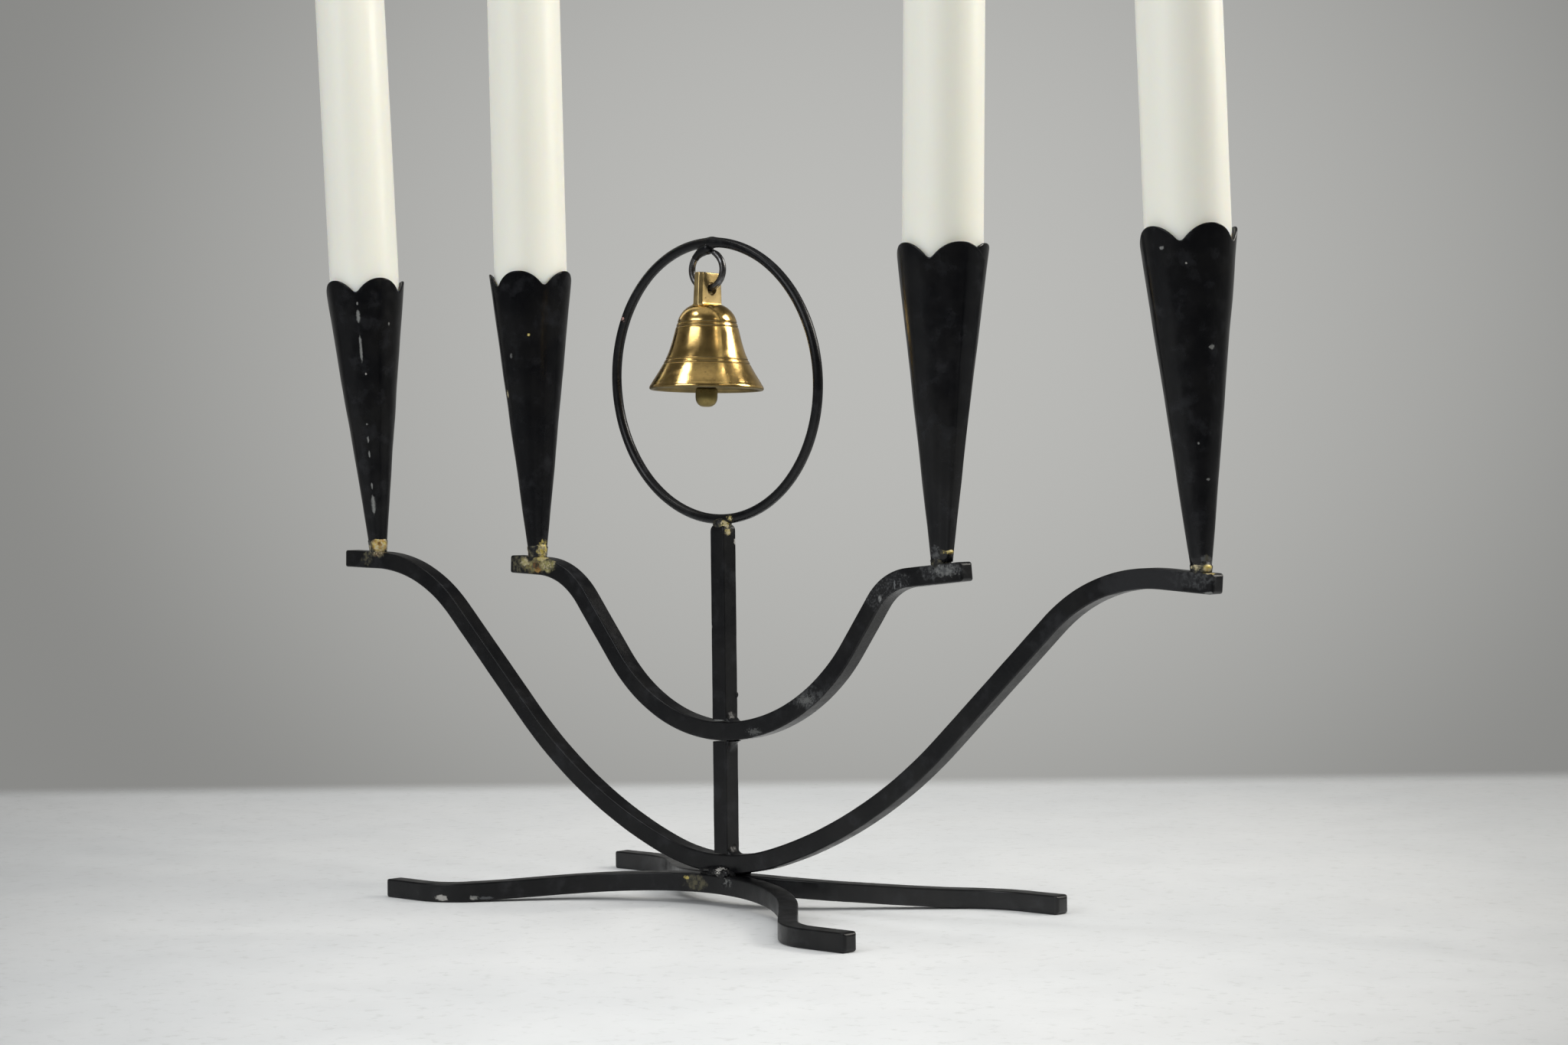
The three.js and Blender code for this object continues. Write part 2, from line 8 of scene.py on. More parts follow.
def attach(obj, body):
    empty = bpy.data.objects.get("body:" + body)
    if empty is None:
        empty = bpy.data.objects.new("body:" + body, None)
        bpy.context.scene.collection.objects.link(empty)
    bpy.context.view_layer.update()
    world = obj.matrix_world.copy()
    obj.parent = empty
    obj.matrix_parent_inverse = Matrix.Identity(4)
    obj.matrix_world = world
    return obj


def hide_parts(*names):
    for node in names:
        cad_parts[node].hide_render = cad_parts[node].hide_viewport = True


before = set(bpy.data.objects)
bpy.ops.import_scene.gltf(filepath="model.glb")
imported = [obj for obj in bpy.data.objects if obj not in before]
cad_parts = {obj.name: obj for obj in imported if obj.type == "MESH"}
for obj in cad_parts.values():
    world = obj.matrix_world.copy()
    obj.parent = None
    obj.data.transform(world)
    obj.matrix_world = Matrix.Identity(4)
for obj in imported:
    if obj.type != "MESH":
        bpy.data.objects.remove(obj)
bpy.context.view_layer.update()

MM = 0.001

# Stock, in millimetres as in the part
BAR = 5.35
BAR_EDGE = 0.45
SEAT = 0.3
HOOP_WIRE = 2.9
HOOK_WIRE = 2
STAPLE_WIRE = 1
SHEET = 0.8

# Base bars and arms, as in the part
BASE_LIFT = 3.6
FRONT_BAR = dict(way=-1, shift=-1.5, slope=48.5, middle=64, slant=21.6, bend=17.4, foot=14.2, flat=14)
BACK_BAR = dict(way=1, shift=1.4, slope=41, middle=49.5, slant=32, bend=26.7, foot=12.9, flat=20)
OUTER_LEFT = dict(bowls=((19.4, 68), (24.8, 161)), rise=43, shoulder=53, tip=16, tilt=1.6)
OUTER_RIGHT = dict(bowls=((16.6, 70), (25.6, 163)), rise=48.8, shoulder=47.5, tip=16, tilt=-4)
INNER_LEFT = dict(bowls=((51, 53.2),), rise=22.5, shoulder=24.6, tip=12.7, tilt=2.6)
INNER_RIGHT = dict(bowls=((53.8, 61.3),), rise=15.8, shoulder=17.1, tip=19.2, tilt=5.6)
OUTER_HEIGHT = BASE_LIFT + BAR + SEAT + BAR / 2
INNER_HEIGHT = 49.8

# Stem, hoop and hook
STEM_X = 0.6
STEM_TOP = 108.5
STEM_TAPER = 2.4
STEM_TOP_SIDE = 4.2
HOOP_RADIUS = 39.4
HOOP_X = -0.2
HOOP_LEAN = radians(2.8)
HOOP_BOTTOM = STEM_TOP + SEAT + HOOP_WIRE / 2
HOOK_RADIUS = 5.3
HOOK_CENTRE = Vector((-0.650, -3.849, 181.303))
HOOK_TURN = radians(9)
HOOK_ANGLES = (18, 349)

# Bell, from its mouth at height 0; its lug is drawn 0.4 mm wider a side than the solid
BELL_PLACE = Vector((-0.650, -3.849, 146.978))
BELL_HEIGHT = 25.2
MOUTH_RADIUS = 16.3
FLANK_LEAN = radians(13)
BELL_WALL = 1.3
GROOVES = (8, 18.5)
GROOVE_PITCH = 1.15
GROOVE_WIDTH = 0.5
GROOVE_DEPTH = 0.2
LUG_THICK = 3.6
LUG_WIDE = 9.6
LUG_BEVEL = 0.9
LUG_TAPER = 0.92
LUG_HOLE = 1.75
HOLE_HEIGHT = BELL_HEIGHT + 3.6
LUG_TOP = HOLE_HEIGHT + 4.6
STAPLE_TOP = BELL_HEIGHT - BELL_WALL - SEAT
STAPLE_PIVOT = STAPLE_TOP - 4
CLAPPER_LENGTH = 21
CLAPPER_BALL = 3.35

# Cups and candles, from the cup's foot
CUP_HEIGHT = 85
CUP_FOOT = 2.65
CUP_SLOPE = (12.55 - CUP_FOOT) / CUP_HEIGHT
SCALLOPS = 5
SCALLOP_DEPTH = 4.2
CUP_SWEEP = 390
LAP_STEP = 34
LAP_LIFT = SHEET + 0.15
CANDLE_RADIUS = 11
CANDLE_FOOT = 51
CANDLE_TOP = 251
CANDLE_FIT = 0.35
CUPS = {
    "outer_left": dict(foot=(-150.198, 0, 100.845), lean=-3.4, turn=149),
    "inner_left": dict(foot=(-76.457, 0, 99.444), lean=-1.1, turn=103),
    "inner_right": dict(foot=(80.947, 0, 98.965), lean=1.2, turn=-20),
    "outer_right": dict(foot=(165.043, 0, 98.489), lean=-2.1, turn=139),
}

# The bell's slight turn to the side and to the front, seen by the camera
BELL_ASKEW = radians(1.2)
BELL_FORWARD = radians(-1.5)

# The photo's camera: place, aim and lens
CAMERA_PLACE = Vector((614.5, -649.4, 122.2)) * MM
CAMERA_TURN = radians(42.27)
CAMERA_PITCH = radians(-0.84)
CAMERA_ROLL = radians(-0.65)
LENS = 71.877
SENSOR = 36


# Shapes from rings of points

def loft(rings, looped=False):
    """Vertices and faces of a closed tube through rings of equal count."""
    count, around = rings.shape[:2]
    faces = []
    for i in range(count if looped else count - 1):
        here = i * around
        there = (i + 1) % count * around
        for j in range(around):
            k = (j + 1) % around
            faces.append((here + j, here + k, there + k, there + j))
    if not looped:
        faces.append(tuple(reversed(range(around))))
        faces.append(tuple(range((count - 1) * around, count * around)))
    return rings.reshape(-1, 3), faces


def revolve(profile, steps):
    """A closed lathe body; the profile runs upwards outside and starts and ends on the axis."""
    inner = profile[1:-1]
    count = len(inner)
    last = 1 + steps * count
    points = [(0, 0, profile[0][1])]
    faces = []
    for i in range(steps):
        a = 2 * pi * i / steps
        points += [(r * cos(a), r * sin(a), z) for r, z in inner]
        here = 1 + i * count
        there = 1 + (i + 1) % steps * count
        faces.append((0, there, here))
        for j in range(count - 1):
            faces.append((here + j, there + j, there + j + 1, here + j + 1))
        faces.append((here + count - 1, there + count - 1, last))
    points.append((0, 0, profile[-1][1]))
    return np.array(points), faces


def join(*bodies):
    """Several bodies as one list of vertices and faces."""
    faces = []
    start = 0
    for points, own in bodies:
        faces += [tuple(v + start for v in face) for face in own]
        start += len(points)
    return np.vstack([points for points, own in bodies]), faces


def moved(body, matrix):
    points, faces = body
    return points @ np.array(matrix.to_3x3()).T + np.array(matrix.translation), faces


def put(name, data):
    """Puts a new object in the scene."""
    obj = bpy.data.objects.new(name, data)
    bpy.context.scene.collection.objects.link(obj)
    return obj


def smooth_object(name, body):
    """A smooth mesh object from a body in millimetres."""
    points, faces = body
    mesh = bpy.data.meshes.new(name)
    mesh.from_pydata((points * MM).tolist(), [], faces)
    mesh.validate()
    mesh.shade_smooth()
    return put(name, mesh)


def make(name, body, rides, stands_for, material, weighted=True):
    """Makes a piece, ties it to its CAD body and gives it its finish."""
    obj = smooth_object(name, body)
    obj.data.materials.append(material)
    if weighted:
        obj.modifiers.new("weighted", "WEIGHTED_NORMAL").keep_sharp = True
    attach(obj, rides)
    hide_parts(stands_for)
    return obj


def spoke_at(a):
    return np.array((cos(a), sin(a), 0))


def quarter(steps):
    """Sines and cosines of equal steps through a right angle."""
    turns = [pi / 2 * k / steps for k in range(steps + 1)]
    return [(sin(a), cos(a)) for a in turns]


def wobble(point, size, seed=0):
    """Smooth noise of about -1 to 1 at a point, with features of a given size."""
    return noise.noise(Vector(point) / size + Vector((seed, 2.3 * seed, -1.7 * seed)))


# Sections

def square_section(side, edge, steps=4):
    """A square with rounded corners, anticlockwise."""
    half = side / 2 - edge
    points = []
    for corner, (x, y) in enumerate(((half, half), (-half, half), (-half, -half), (half, -half))):
        for i in range(steps + 1):
            a = pi / 2 * (corner + i / steps)
            points.append((x + edge * cos(a), y + edge * sin(a)))
    return np.array(points)


def round_section(radius, sides):
    angles = 2 * np.pi * np.arange(sides) / sides
    return np.stack([radius * np.cos(angles), radius * np.sin(angles)], 1)


def sweep(stations, section, looped=False):
    """Carries a section through stations (at, side, up, scale)."""
    rings = np.array([
        [np.array(at) + scale * (s * np.array(side) + u * np.array(up)) for s, u in section]
        for at, side, up, scale in stations
    ])
    return loft(rings, looped)


END_STEPS = 4
END_ROUND = 1.1
BAR_WAVE = 0.075
BAR_GRAIN = 0.03
WAVE_SIZE = 7
GRAIN_SIZE = 1.6


def rounded_ends(stations, side, radius=END_ROUND):
    """Adds stations that round both ends off; each station is (at, side, up)."""
    def cap(end, inner):
        at, across, up = end
        outward = (Vector(at) - Vector(inner[0])).normalized()
        return [
            (Vector(at) - outward * radius * (1 - s), across, up, 1 - 2 * radius * (1 - c) / side)
            for s, c in quarter(END_STEPS)
        ]

    first = cap(stations[0], stations[1])[::-1]
    return first + [(*s, 1) for s in stations[1:-1]] + cap(stations[-1], stations[-2])


def hand_swept(stations, section, seed, wave=BAR_WAVE, grain=BAR_GRAIN, looped=False):
    """A swept body whose surface is drawn in a little, unevenly, towards its centre line."""
    points, faces = sweep(stations, section, looped)
    out = points.copy()
    for i, point in enumerate(points):
        spoke = point - np.array(stations[i // len(section)][0])
        depth = wave * (1 + wobble(point, WAVE_SIZE, seed)) / 2
        depth += grain * (1 + wobble(point, GRAIN_SIZE, seed)) / 2
        out[i] = point - spoke * min(1, depth / np.linalg.norm(spoke))
    return out, faces


# Flat paths

STRAIGHT_STEP = 1.6
BEND_STEP = 1.2


def walk(moves):
    """Straights (ahead) and bends (turn in degrees, radius) from the origin along +x."""
    path = [(0, 0, 0, 0)]
    for ahead, turn, radius in moves:
        x, y, heading, along = path[-1]
        bend = radians(turn)
        curve = copysign(radius, turn) if turn else 0
        length = ahead + abs(bend) * radius
        steps = ceil(ahead / STRAIGHT_STEP + abs(turn) / BEND_STEP)
        for i in range(1, steps + 1):
            share = i / steps
            now = heading + bend * share
            forward = ahead * share
            path.append((
                x + forward * cos(now) + curve * (sin(now) - sin(heading)),
                y + forward * sin(now) + curve * (cos(heading) - cos(now)),
                now,
                along + length * share,
            ))
    return path


def both_halves(left, right):
    turned = [(-x, y, -heading, -along) for x, y, heading, along in reversed(left[1:])]
    return turned + right


def arm_half(half):
    """Half an arm: the bends of its bowl (turn, radius), a straight, the shoulder and the tip."""
    turned = sum(turn for turn, radius in half["bowls"])
    bowl = [(0, turn, radius) for turn, radius in half["bowls"]]
    shoulder = (0, half["tilt"] - turned, half["shoulder"])
    return walk(bowl + [(half["rise"], 0, 0), shoulder, (half["tip"], 0, 0)])


def arm_stations(left, right, height):
    return [
        ((x, 0, height + y), (0, 1, 0), (-sin(heading), 0, cos(heading)))
        for x, y, heading, along in both_halves(arm_half(left), arm_half(right))
    ]


def base_stations(bar):
    half = walk([
        (0, bar["slope"], bar["middle"]),
        (bar["slant"], 0, 0),
        (0, -bar["slope"], bar["bend"]),
        (bar["foot"], 0, 0),
    ])
    span = half[-1][3] - bar["flat"]
    stations = []
    for x, y, heading, along in both_halves(half, half):
        share = min(1, abs(along) / span)
        lift = BASE_LIFT * (1 + cos(pi * share)) / 2
        at = (x + bar["shift"], bar["way"] * ((BAR + SEAT) / 2 + y), lift + BAR / 2)
        stations.append((at, (-bar["way"] * sin(heading), cos(heading), 0), (0, 0, 1)))
    return stations


def bar_body(stations, seed, end_round=END_ROUND):
    return hand_swept(rounded_ends(stations, BAR, end_round), square_section(BAR, BAR_EDGE), seed)


# Node helpers

def is_socket(value):
    return isinstance(value, bpy.types.NodeSocket)


def feed(socket, value):
    if is_socket(value):
        socket.id_data.links.new(value, socket)
    else:
        socket.default_value = value


def plug(made, **inputs):
    """Feeds a node's inputs, each given by its name in lower case with underscores."""
    sockets = {s.name.lower().replace(" ", "_"): s for s in reversed(made.inputs)}
    for key, value in inputs.items():
        feed(sockets[key], value)
    return made


def node(kind, *values):
    """A node in the tree of the linked values; its first inputs take the values."""
    made = next(filter(is_socket, values)).id_data.nodes.new("ShaderNode" + kind)
    for socket, value in zip(made.inputs, values):
        feed(socket, value)
    return made


def maths(operation, a, b=0, clamp=False):
    made = node("Math", a, b)
    made.operation = operation
    made.use_clamp = clamp
    return made.outputs[0]


def plus(a, b):
    return maths("ADD", a, b)


def times(a, b):
    return maths("MULTIPLY", a, b)


def vector_maths(operation, a, b=(0, 0, 0)):
    made = node("VectorMath", a, b)
    made.operation = operation
    return made.outputs["Value" if operation in ("LENGTH", "DOT_PRODUCT", "DISTANCE") else "Vector"]


def dot(a, b):
    return vector_maths("DOT_PRODUCT", a, tuple(b))


def scaled(vector, factor):
    made = node("VectorMath", vector)
    made.operation = "SCALE"
    return plug(made, scale=factor).outputs[0]


def ramp(value, low, high, to_low=0, to_high=1):
    """A smooth step from low to high, mapped to the two output values."""
    made = node("MapRange", value, low, high, to_low, to_high)
    made.interpolation_type = "SMOOTHSTEP"
    return made.outputs[0]


def blend(factor, a, b):
    """Mixes two colours by a linked factor."""
    made = node("Mix", factor)
    made.data_type = "RGBA"
    feed(made.inputs[6], a)
    feed(made.inputs[7], b)
    return made.outputs[2]


def noise_node(place, scale, detail=3, rough=0.55, stretch=None):
    """Noise in millimetres: scale is features per millimetre."""
    if stretch:
        place = vector_maths("MULTIPLY", place, stretch)
    return plug(node("TexNoise", place), scale=scale, detail=detail, roughness=rough).outputs[0]


def bumped(height, strength, distance):
    made = height.id_data.nodes.new("ShaderNodeBump")
    return plug(made, height=height, strength=strength, distance=distance).outputs[0]


def colour(r, g, b):
    return (r, g, b, 1)


def source(tree, kind, output):
    return tree.nodes.new("ShaderNode" + kind).outputs[output]


def start_material(name):
    """A material, its shader and its place in millimetres."""
    material = bpy.data.materials.new(name)
    material.use_nodes = True
    tree = material.node_tree
    return material, tree.nodes["Principled BSDF"], scaled(source(tree, "TexCoord", "Object"), 1 / MM)


def spot(place, centre, radii, ragged, grain):
    """1 inside an ellipsoid with a ragged edge, 0 outside."""
    share = vector_maths("DIVIDE", vector_maths("SUBTRACT", place, centre), radii)
    rough = maths("SUBTRACT", noise_node(place, grain, 4, 0.65), 0.5)
    edge = plus(vector_maths("LENGTH", share), times(rough, 2 * ragged))
    return ramp(edge, 1.05, 0.6)


def scratch(place, start, end, width):
    """1 along a ragged line between two points, 0 elsewhere."""
    way = Vector(end) - Vector(start)
    offset = vector_maths("SUBTRACT", place, start)
    along = dot(offset, way.normalized())
    aside = vector_maths("DISTANCE", offset, vector_maths("PROJECT", offset, tuple(way)))
    rough = maths("SUBTRACT", noise_node(place, 2.4, 5, 0.7), 0.5)
    ragged = plus(maths("DIVIDE", aside, width), times(rough, 3))
    middle = maths("ABSOLUTE", maths("SUBTRACT", along, way.length / 2))
    ends = ramp(middle, way.length * 0.2, way.length * 0.5 + width, 0, 1.6)
    return ramp(plus(ragged, ends), 1.3, 0.3)


def mottle(place, tones):
    """Patches of up to three colours."""
    tone = tones[0]
    for i, other in enumerate(tones[1:]):
        patch = noise_node(place, 0.8 * (1 + i), 5, 0.6)
        tone = blend(ramp(patch, 0.40 + 0.06 * i, 0.62 + 0.06 * i), tone, other)
    return tone


def stained(place, base, spots, scratches=()):
    """A base colour under spots (centre, radii, colours, cover, ragged, grain) and scratches
    (start, end, width, colour, cover); also gives how much of it is covered."""
    layers = []
    for centre, radii, tones, cover, ragged, grain in spots:
        layers.append((times(spot(place, centre, radii, ragged, grain), cover), tones))
    for start, end, width, tone, cover in scratches:
        layers.append((times(scratch(place, start, end, width), cover), (tone,)))
    covered = 0
    for share, tones in layers:
        base = blend(share, base, mottle(place, tones))
        covered = maths("MAXIMUM", covered, share)
    return base, covered


# Finishes

BLACK = colour(0.0034, 0.0036, 0.0045)
WORN_BLACK = colour(0.0066, 0.0066, 0.0070)
HAZE = colour(0.013, 0.0135, 0.0155)
CHIP = colour(0.42, 0.41, 0.39)
GREY = colour(0.11, 0.115, 0.12)
PALE = colour(0.22, 0.225, 0.22)
AMBER = colour(0.42, 0.23, 0.05)
YELLOW = colour(0.62, 0.50, 0.13)
CREAM = colour(0.62, 0.54, 0.34)
OLIVE = colour(0.10, 0.092, 0.055)
UMBER = colour(0.12, 0.055, 0.018)
PINK = colour(0.62, 0.36, 0.32)
MOSS = colour(0.30, 0.275, 0.10)
LACQUER_SHINE = 0.28


def lacquer(name, spots=(), scratches=(), seed=0, sheen=0.32, shine=LACQUER_SHINE, peel=0.16):
    """Black lacquer over iron, with worn corners, spots and scratches."""
    material, shader, at_rest = start_material(name)
    place = vector_maths("ADD", at_rest, (seed, seed, seed))
    broad = noise_node(place, 0.06)
    fine = noise_node(place, 0.8, 5, 0.7)
    haze = noise_node(place, 0.17, 5, 0.6)
    base = blend(ramp(broad, 0.4, 0.65), BLACK, WORN_BLACK)
    base = blend(ramp(haze, 0.5, 0.72), base, HAZE)
    edge = source(material.node_tree, "NewGeometry", "Pointiness")
    worn = times(ramp(edge, 0.53, 0.60), ramp(fine, 0.55, 0.72))
    worn = times(worn, ramp(broad, 0.42, 0.62))
    base, marked = stained(at_rest, blend(worn, base, GREY), spots, scratches)
    cover = maths("MAXIMUM", worn, marked)
    gloss = ramp(noise_node(place, 0.25, 4), 0.3, 0.7, sheen - 0.04, sheen + 0.07)
    height = plus(noise_node(place, 0.9, 4), times(cover, -0.35))
    plug(shader, base_color=base, ior=1.5, specular_ior_level=shine,
         roughness=maths("ADD", gloss, times(cover, 0.3), clamp=True),
         normal=bumped(height, peel, 0.0002))
    return material


def brass(name, tone, dull, tarnish, gloss, inside=0):
    """Brass with dull patches and freckles, and with painted shade where it faces down, inside the bell:
    darker, olive and rougher there.
    """
    material, shader, place = start_material(name)
    stain = times(ramp(noise_node(place, 0.2, 5, 0.6), 0.42, 0.68), tarnish)
    freckle = ramp(noise_node(place, 1.3, 4, 0.6), 0.62, 0.72, 0, tarnish)
    tone = blend(freckle, blend(stain, tone, dull), UMBER)
    below = dot(source(material.node_tree, "TexCoord", "Normal"), (0, 0, 1))
    # Painted shade: faces that point down, as inside the bell, blend towards olive by the inside amount
    painted_shade = ramp(below, -0.02, -0.25, 0, inside)
    lines = noise_node(place, 0.5, 2, stretch=(1, 1, 6))
    smear = ramp(noise_node(place, 0.35, 4), 0.35, 0.7, gloss, gloss + 0.09)
    rough = plus(smear, times(stain, 0.12))
    plug(shader, base_color=blend(painted_shade, tone, OLIVE), metallic=1,
         roughness=plus(rough, times(painted_shade, 0.3)),
         normal=bumped(lines, 0.05, 0.0001))
    return material


def steel(name):
    material, shader, place = start_material(name)
    patch = noise_node(place, 0.5, 4)
    tone = blend(ramp(patch, 0.35, 0.7), colour(0.16, 0.16, 0.165), colour(0.06, 0.055, 0.05))
    plug(shader, base_color=tone, metallic=0.9,
         roughness=ramp(patch, 0.3, 0.75, 0.2, 0.42),
         normal=bumped(noise_node(place, 2), 0.15, 0.0001))
    return material


def braze(name, spots):
    """Sooted braze metal whose bare or flux-stained places are given as spots."""
    material, shader, place = start_material(name)
    soot = noise_node(place, 0.7, 5, 0.65)
    base, bare = stained(place, blend(ramp(soot, 0.45, 0.7), BLACK, OLIVE), spots)
    plug(shader, base_color=base, specular_ior_level=0.35,
         metallic=times(bare, ramp(soot, 0.4, 0.6, 0.1, 0.6)),
         roughness=ramp(soot, 0.3, 0.7, 0.34, 0.6),
         normal=bumped(noise_node(place, 1.4, 5, 0.6), 0.45, 0.0003))
    return material


def wax(name):
    material, shader, place = start_material(name)
    clouds = noise_node(place, 0.045, stretch=(1, 1, 0.25))
    streaks = noise_node(place, 0.4, stretch=(1, 1, 0.06))
    plug(shader, ior=1.44,
         base_color=blend(clouds, colour(0.86, 0.86, 0.80), colour(0.82, 0.82, 0.74)),
         roughness=ramp(streaks, 0.3, 0.7, 0.36, 0.48),
         subsurface_weight=0.55, subsurface_radius=(1, 0.8, 0.5), subsurface_scale=0.006,
         normal=bumped(streaks, 0.12, 0.0002))
    return material


def cotton(name):
    material, shader, place = start_material(name)
    fibres = noise_node(place, 3, stretch=(1, 1, 0.3))
    tone = blend(ramp(fibres, 0.3, 0.7), colour(0.78, 0.72, 0.58), colour(0.6, 0.53, 0.4))
    plug(shader, base_color=tone, roughness=0.9, normal=bumped(fibres, 0.5, 0.0002))
    return material


# Bars, arms and stem

def frame_piece(name, body, material):
    make(name + "_fine", body, "frame", name, material)


FACE = -BAR / 2

frame_piece("front_base_bar", bar_body(base_stations(FRONT_BAR), 1.3), lacquer("lacquer_front_bar", [
    ((-6, -6.2, 6.4), (4.6, 2.2, 2.5), (OLIVE, HAZE, OLIVE), 0.8, 0.8, 0.7),
    ((-9.8, -6, 7.6), (1, 1.6, 0.7), (YELLOW, OLIVE), 0.6, 0.9, 1.6),
    ((6.6, -6, 7.4), (1.3, 1.6, 1), (PALE,), 0.55, 2.6, 2.2),
    ((-68.8, -47, 1.3), (2.3, 1.6, 1), (CHIP,), 0.8, 0.9, 1.3),
    ((-61, -41.6, 1.4), (1.5, 1.6, 0.7), (CHIP, PALE), 0.7, 0.9, 1.3),
    ((-58.8, -39, 1.2), (2.2, 2.6, 0.5), (GREY,), 0.6, 0.9, 1.3),
], seed=3.1))
frame_piece("back_base_bar", bar_body(base_stations(BACK_BAR), 2.7),
            lacquer("lacquer_back_bar", seed=11.7, shine=0.5))
frame_piece("outer_arm", bar_body(arm_stations(OUTER_LEFT, OUTER_RIGHT, OUTER_HEIGHT), 4.1), lacquer(
    "lacquer_outer_arm", [
        ((-163.5, 0, 98), (1.4, 3.2, 3.2), (OLIVE, WORN_BLACK), 0.75, 0.8, 0.5),
        ((-147.4, FACE, 99.9), (3.6, 1.8, 2), (OLIVE, UMBER, CREAM), 0.8, 0.9, 0.8),
        ((-152.6, FACE, 98), (2.6, 1, 2.6), (HAZE, OLIVE), 0.7, 1, 0.6),
        ((169, -1.6, 97.6), (2.1, 2.2, 1.1), (YELLOW, CREAM, AMBER), 0.9, 0.7, 1.2),
        ((172.3, FACE, 95.5), (0.6, 0.8, 0.9), (PALE,), 0.7, 1.6, 1.5),
        ((164, FACE, 95.8), (9, 3, 2.8), (HAZE, GREY), 0.4, 1, 0.5),
        ((149, FACE, 94.6), (16, 3, 5), (HAZE,), 0.8, 0.9, 0.16),
        ((169.2, FACE, 92), (1.8, 0.8, 0.4), (PALE,), 0.7, 0.8, 1.5),
        ((173.4, 0, 94.6), (0.6, 2.6, 2.6), (GREY, HAZE), 0.6, 0.9, 0.7),
    ], seed=5.3))
frame_piece("inner_arm", bar_body(arm_stations(INNER_LEFT, INNER_RIGHT, INNER_HEIGHT), 5.9), lacquer(
    "lacquer_inner_arm", [
        ((-81.5, -2, 96.8), (4.6, 3.2, 3.4), (WORN_BLACK, OLIVE), 0.8, 0.7, 0.5),
        ((-75.4, -1.6, 96.8), (6, 3.6, 3.2), (OLIVE, MOSS, UMBER), 0.8, 0.6, 0.7),
        ((-79.2, FACE, 97.4), (2.4, 1.2, 1.4), (CREAM, MOSS), 0.6, 0.9, 0.9),
        ((-69.6, FACE, 96.2), (3.6, 1.8, 2.2), (MOSS, OLIVE, CREAM), 0.75, 0.7, 0.6),
        ((-74.4, FACE, 96.2), (1.5, 1, 1.3), (UMBER, BLACK), 0.85, 0.8, 1),
        ((-72.2, -2.2, 98.6), (2.4, 2, 1.2), (YELLOW, CREAM), 0.5, 0.9, 1),
        ((-77.4, -2, 99), (1.6, 1.6, 2.2), (BLACK,), 0.95, 0.7, 0.9),
        ((-73.6, FACE, 94.9), (1.6, 1.2, 0.8), (AMBER, UMBER), 0.6, 0.9, 1.2),
        ((82, FACE, 97.2), (9, 2, 3), (HAZE, GREY), 0.4, 1.1, 0.5),
        ((84.4, FACE, 96.6), (4.6, 1.3, 1.6), (GREY, PALE), 0.5, 1.8, 1.5),
        ((91.6, FACE, 96.9), (2.2, 2.4, 2.4), (HAZE, GREY), 0.55, 1.1, 0.8),
        ((64, FACE, 91), (9, 2, 6), (HAZE, WORN_BLACK, GREY), 0.4, 1.1, 0.3),
        ((66.8, FACE, 92.6), (0.4, 0.6, 1.3), (GREY,), 0.9, 0.8, 1.4),
        ((68.9, FACE, 92.6), (0.35, 0.6, 0.7), (GREY,), 0.8, 0.8, 1.4),
        ((61.5, FACE, 88.7), (0.7, 0.6, 1.1), (GREY, PALE), 0.8, 0.8, 1.4),
        ((34, FACE, 60), (3, 1.2, 1.4), (PALE,), 0.4, 2.4, 2.2),
        ((35.5, FACE, 60.6), (7.5, 1.2, 4.2), (GREY, HAZE), 0.3, 0.9, 0.35),
        ((14.4, FACE, 50.3), (2.4, 1, 0.9), (PALE,), 0.3, 2.6, 2.2),
    ], seed=7.9))

STEM_STEP = 1.5
GRIND_STEPS = 8
JOINT_ROUND = 0.15
LOWER_FOOT = OUTER_HEIGHT + BAR / 2 + SEAT
LOWER_TOP = INNER_HEIGHT - BAR / 2 - SEAT
UPPER_FOOT = INNER_HEIGHT + BAR / 2 + SEAT


def upright(low, high):
    steps = ceil((high - low) / STEM_STEP)
    return [((STEM_X, 0, low + (high - low) * i / steps), (1, 0, 0), (0, 1, 0)) for i in range(steps + 1)]


def upper_stem():
    """The upper length, ground to a blunt, slightly rounded point."""
    foot = STEM_TOP - STEM_TAPER
    stations = rounded_ends(upright(UPPER_FOOT, foot), BAR, JOINT_ROUND)[:-END_STEPS - 1]
    for i in range(GRIND_STEPS + 1):
        share = i / GRIND_STEPS
        scale = 1 + (STEM_TOP_SIDE / BAR - 1) * share ** 4
        stations.append(((STEM_X, 0, foot + STEM_TAPER * share), (1, 0, 0), (0, 1, 0), scale))
    return hand_swept(stations, square_section(BAR, BAR_EDGE), 7.2)


frame_piece("lower_stem", bar_body(upright(LOWER_FOOT, LOWER_TOP), 6.4, JOINT_ROUND),
            lacquer("lacquer_lower_stem", seed=9.5))
frame_piece("upper_stem", upper_stem(), lacquer("lacquer_upper_stem", [
    ((3.3, -0.8, 106.8), (0.8, 1.6, 1.2), (OLIVE, CREAM, YELLOW), 0.75, 1, 1.2),
    ((3.4, 2.2, 103.7), (0.7, 0.5, 1.1), (CHIP,), 0.85, 1, 1.2),
    ((STEM_X - BAR / 2, FACE, 79.6), (0.5, 0.6, 0.7), (PALE,), 0.8, 1, 1.4),
], [
    ((-2.2, FACE, UPPER_FOOT + 0.1), (3.3, FACE, UPPER_FOOT + 0.25), 0.22, PALE, 0.8),
], seed=13.3))

# Hoop and hook

HOOP_STEPS = 240
HOOP_JOINT = radians(2.2)
JOINT_SPREAD = radians(2.1)
JOINT_RISE = 0.2
WIRE_SIDES = 20


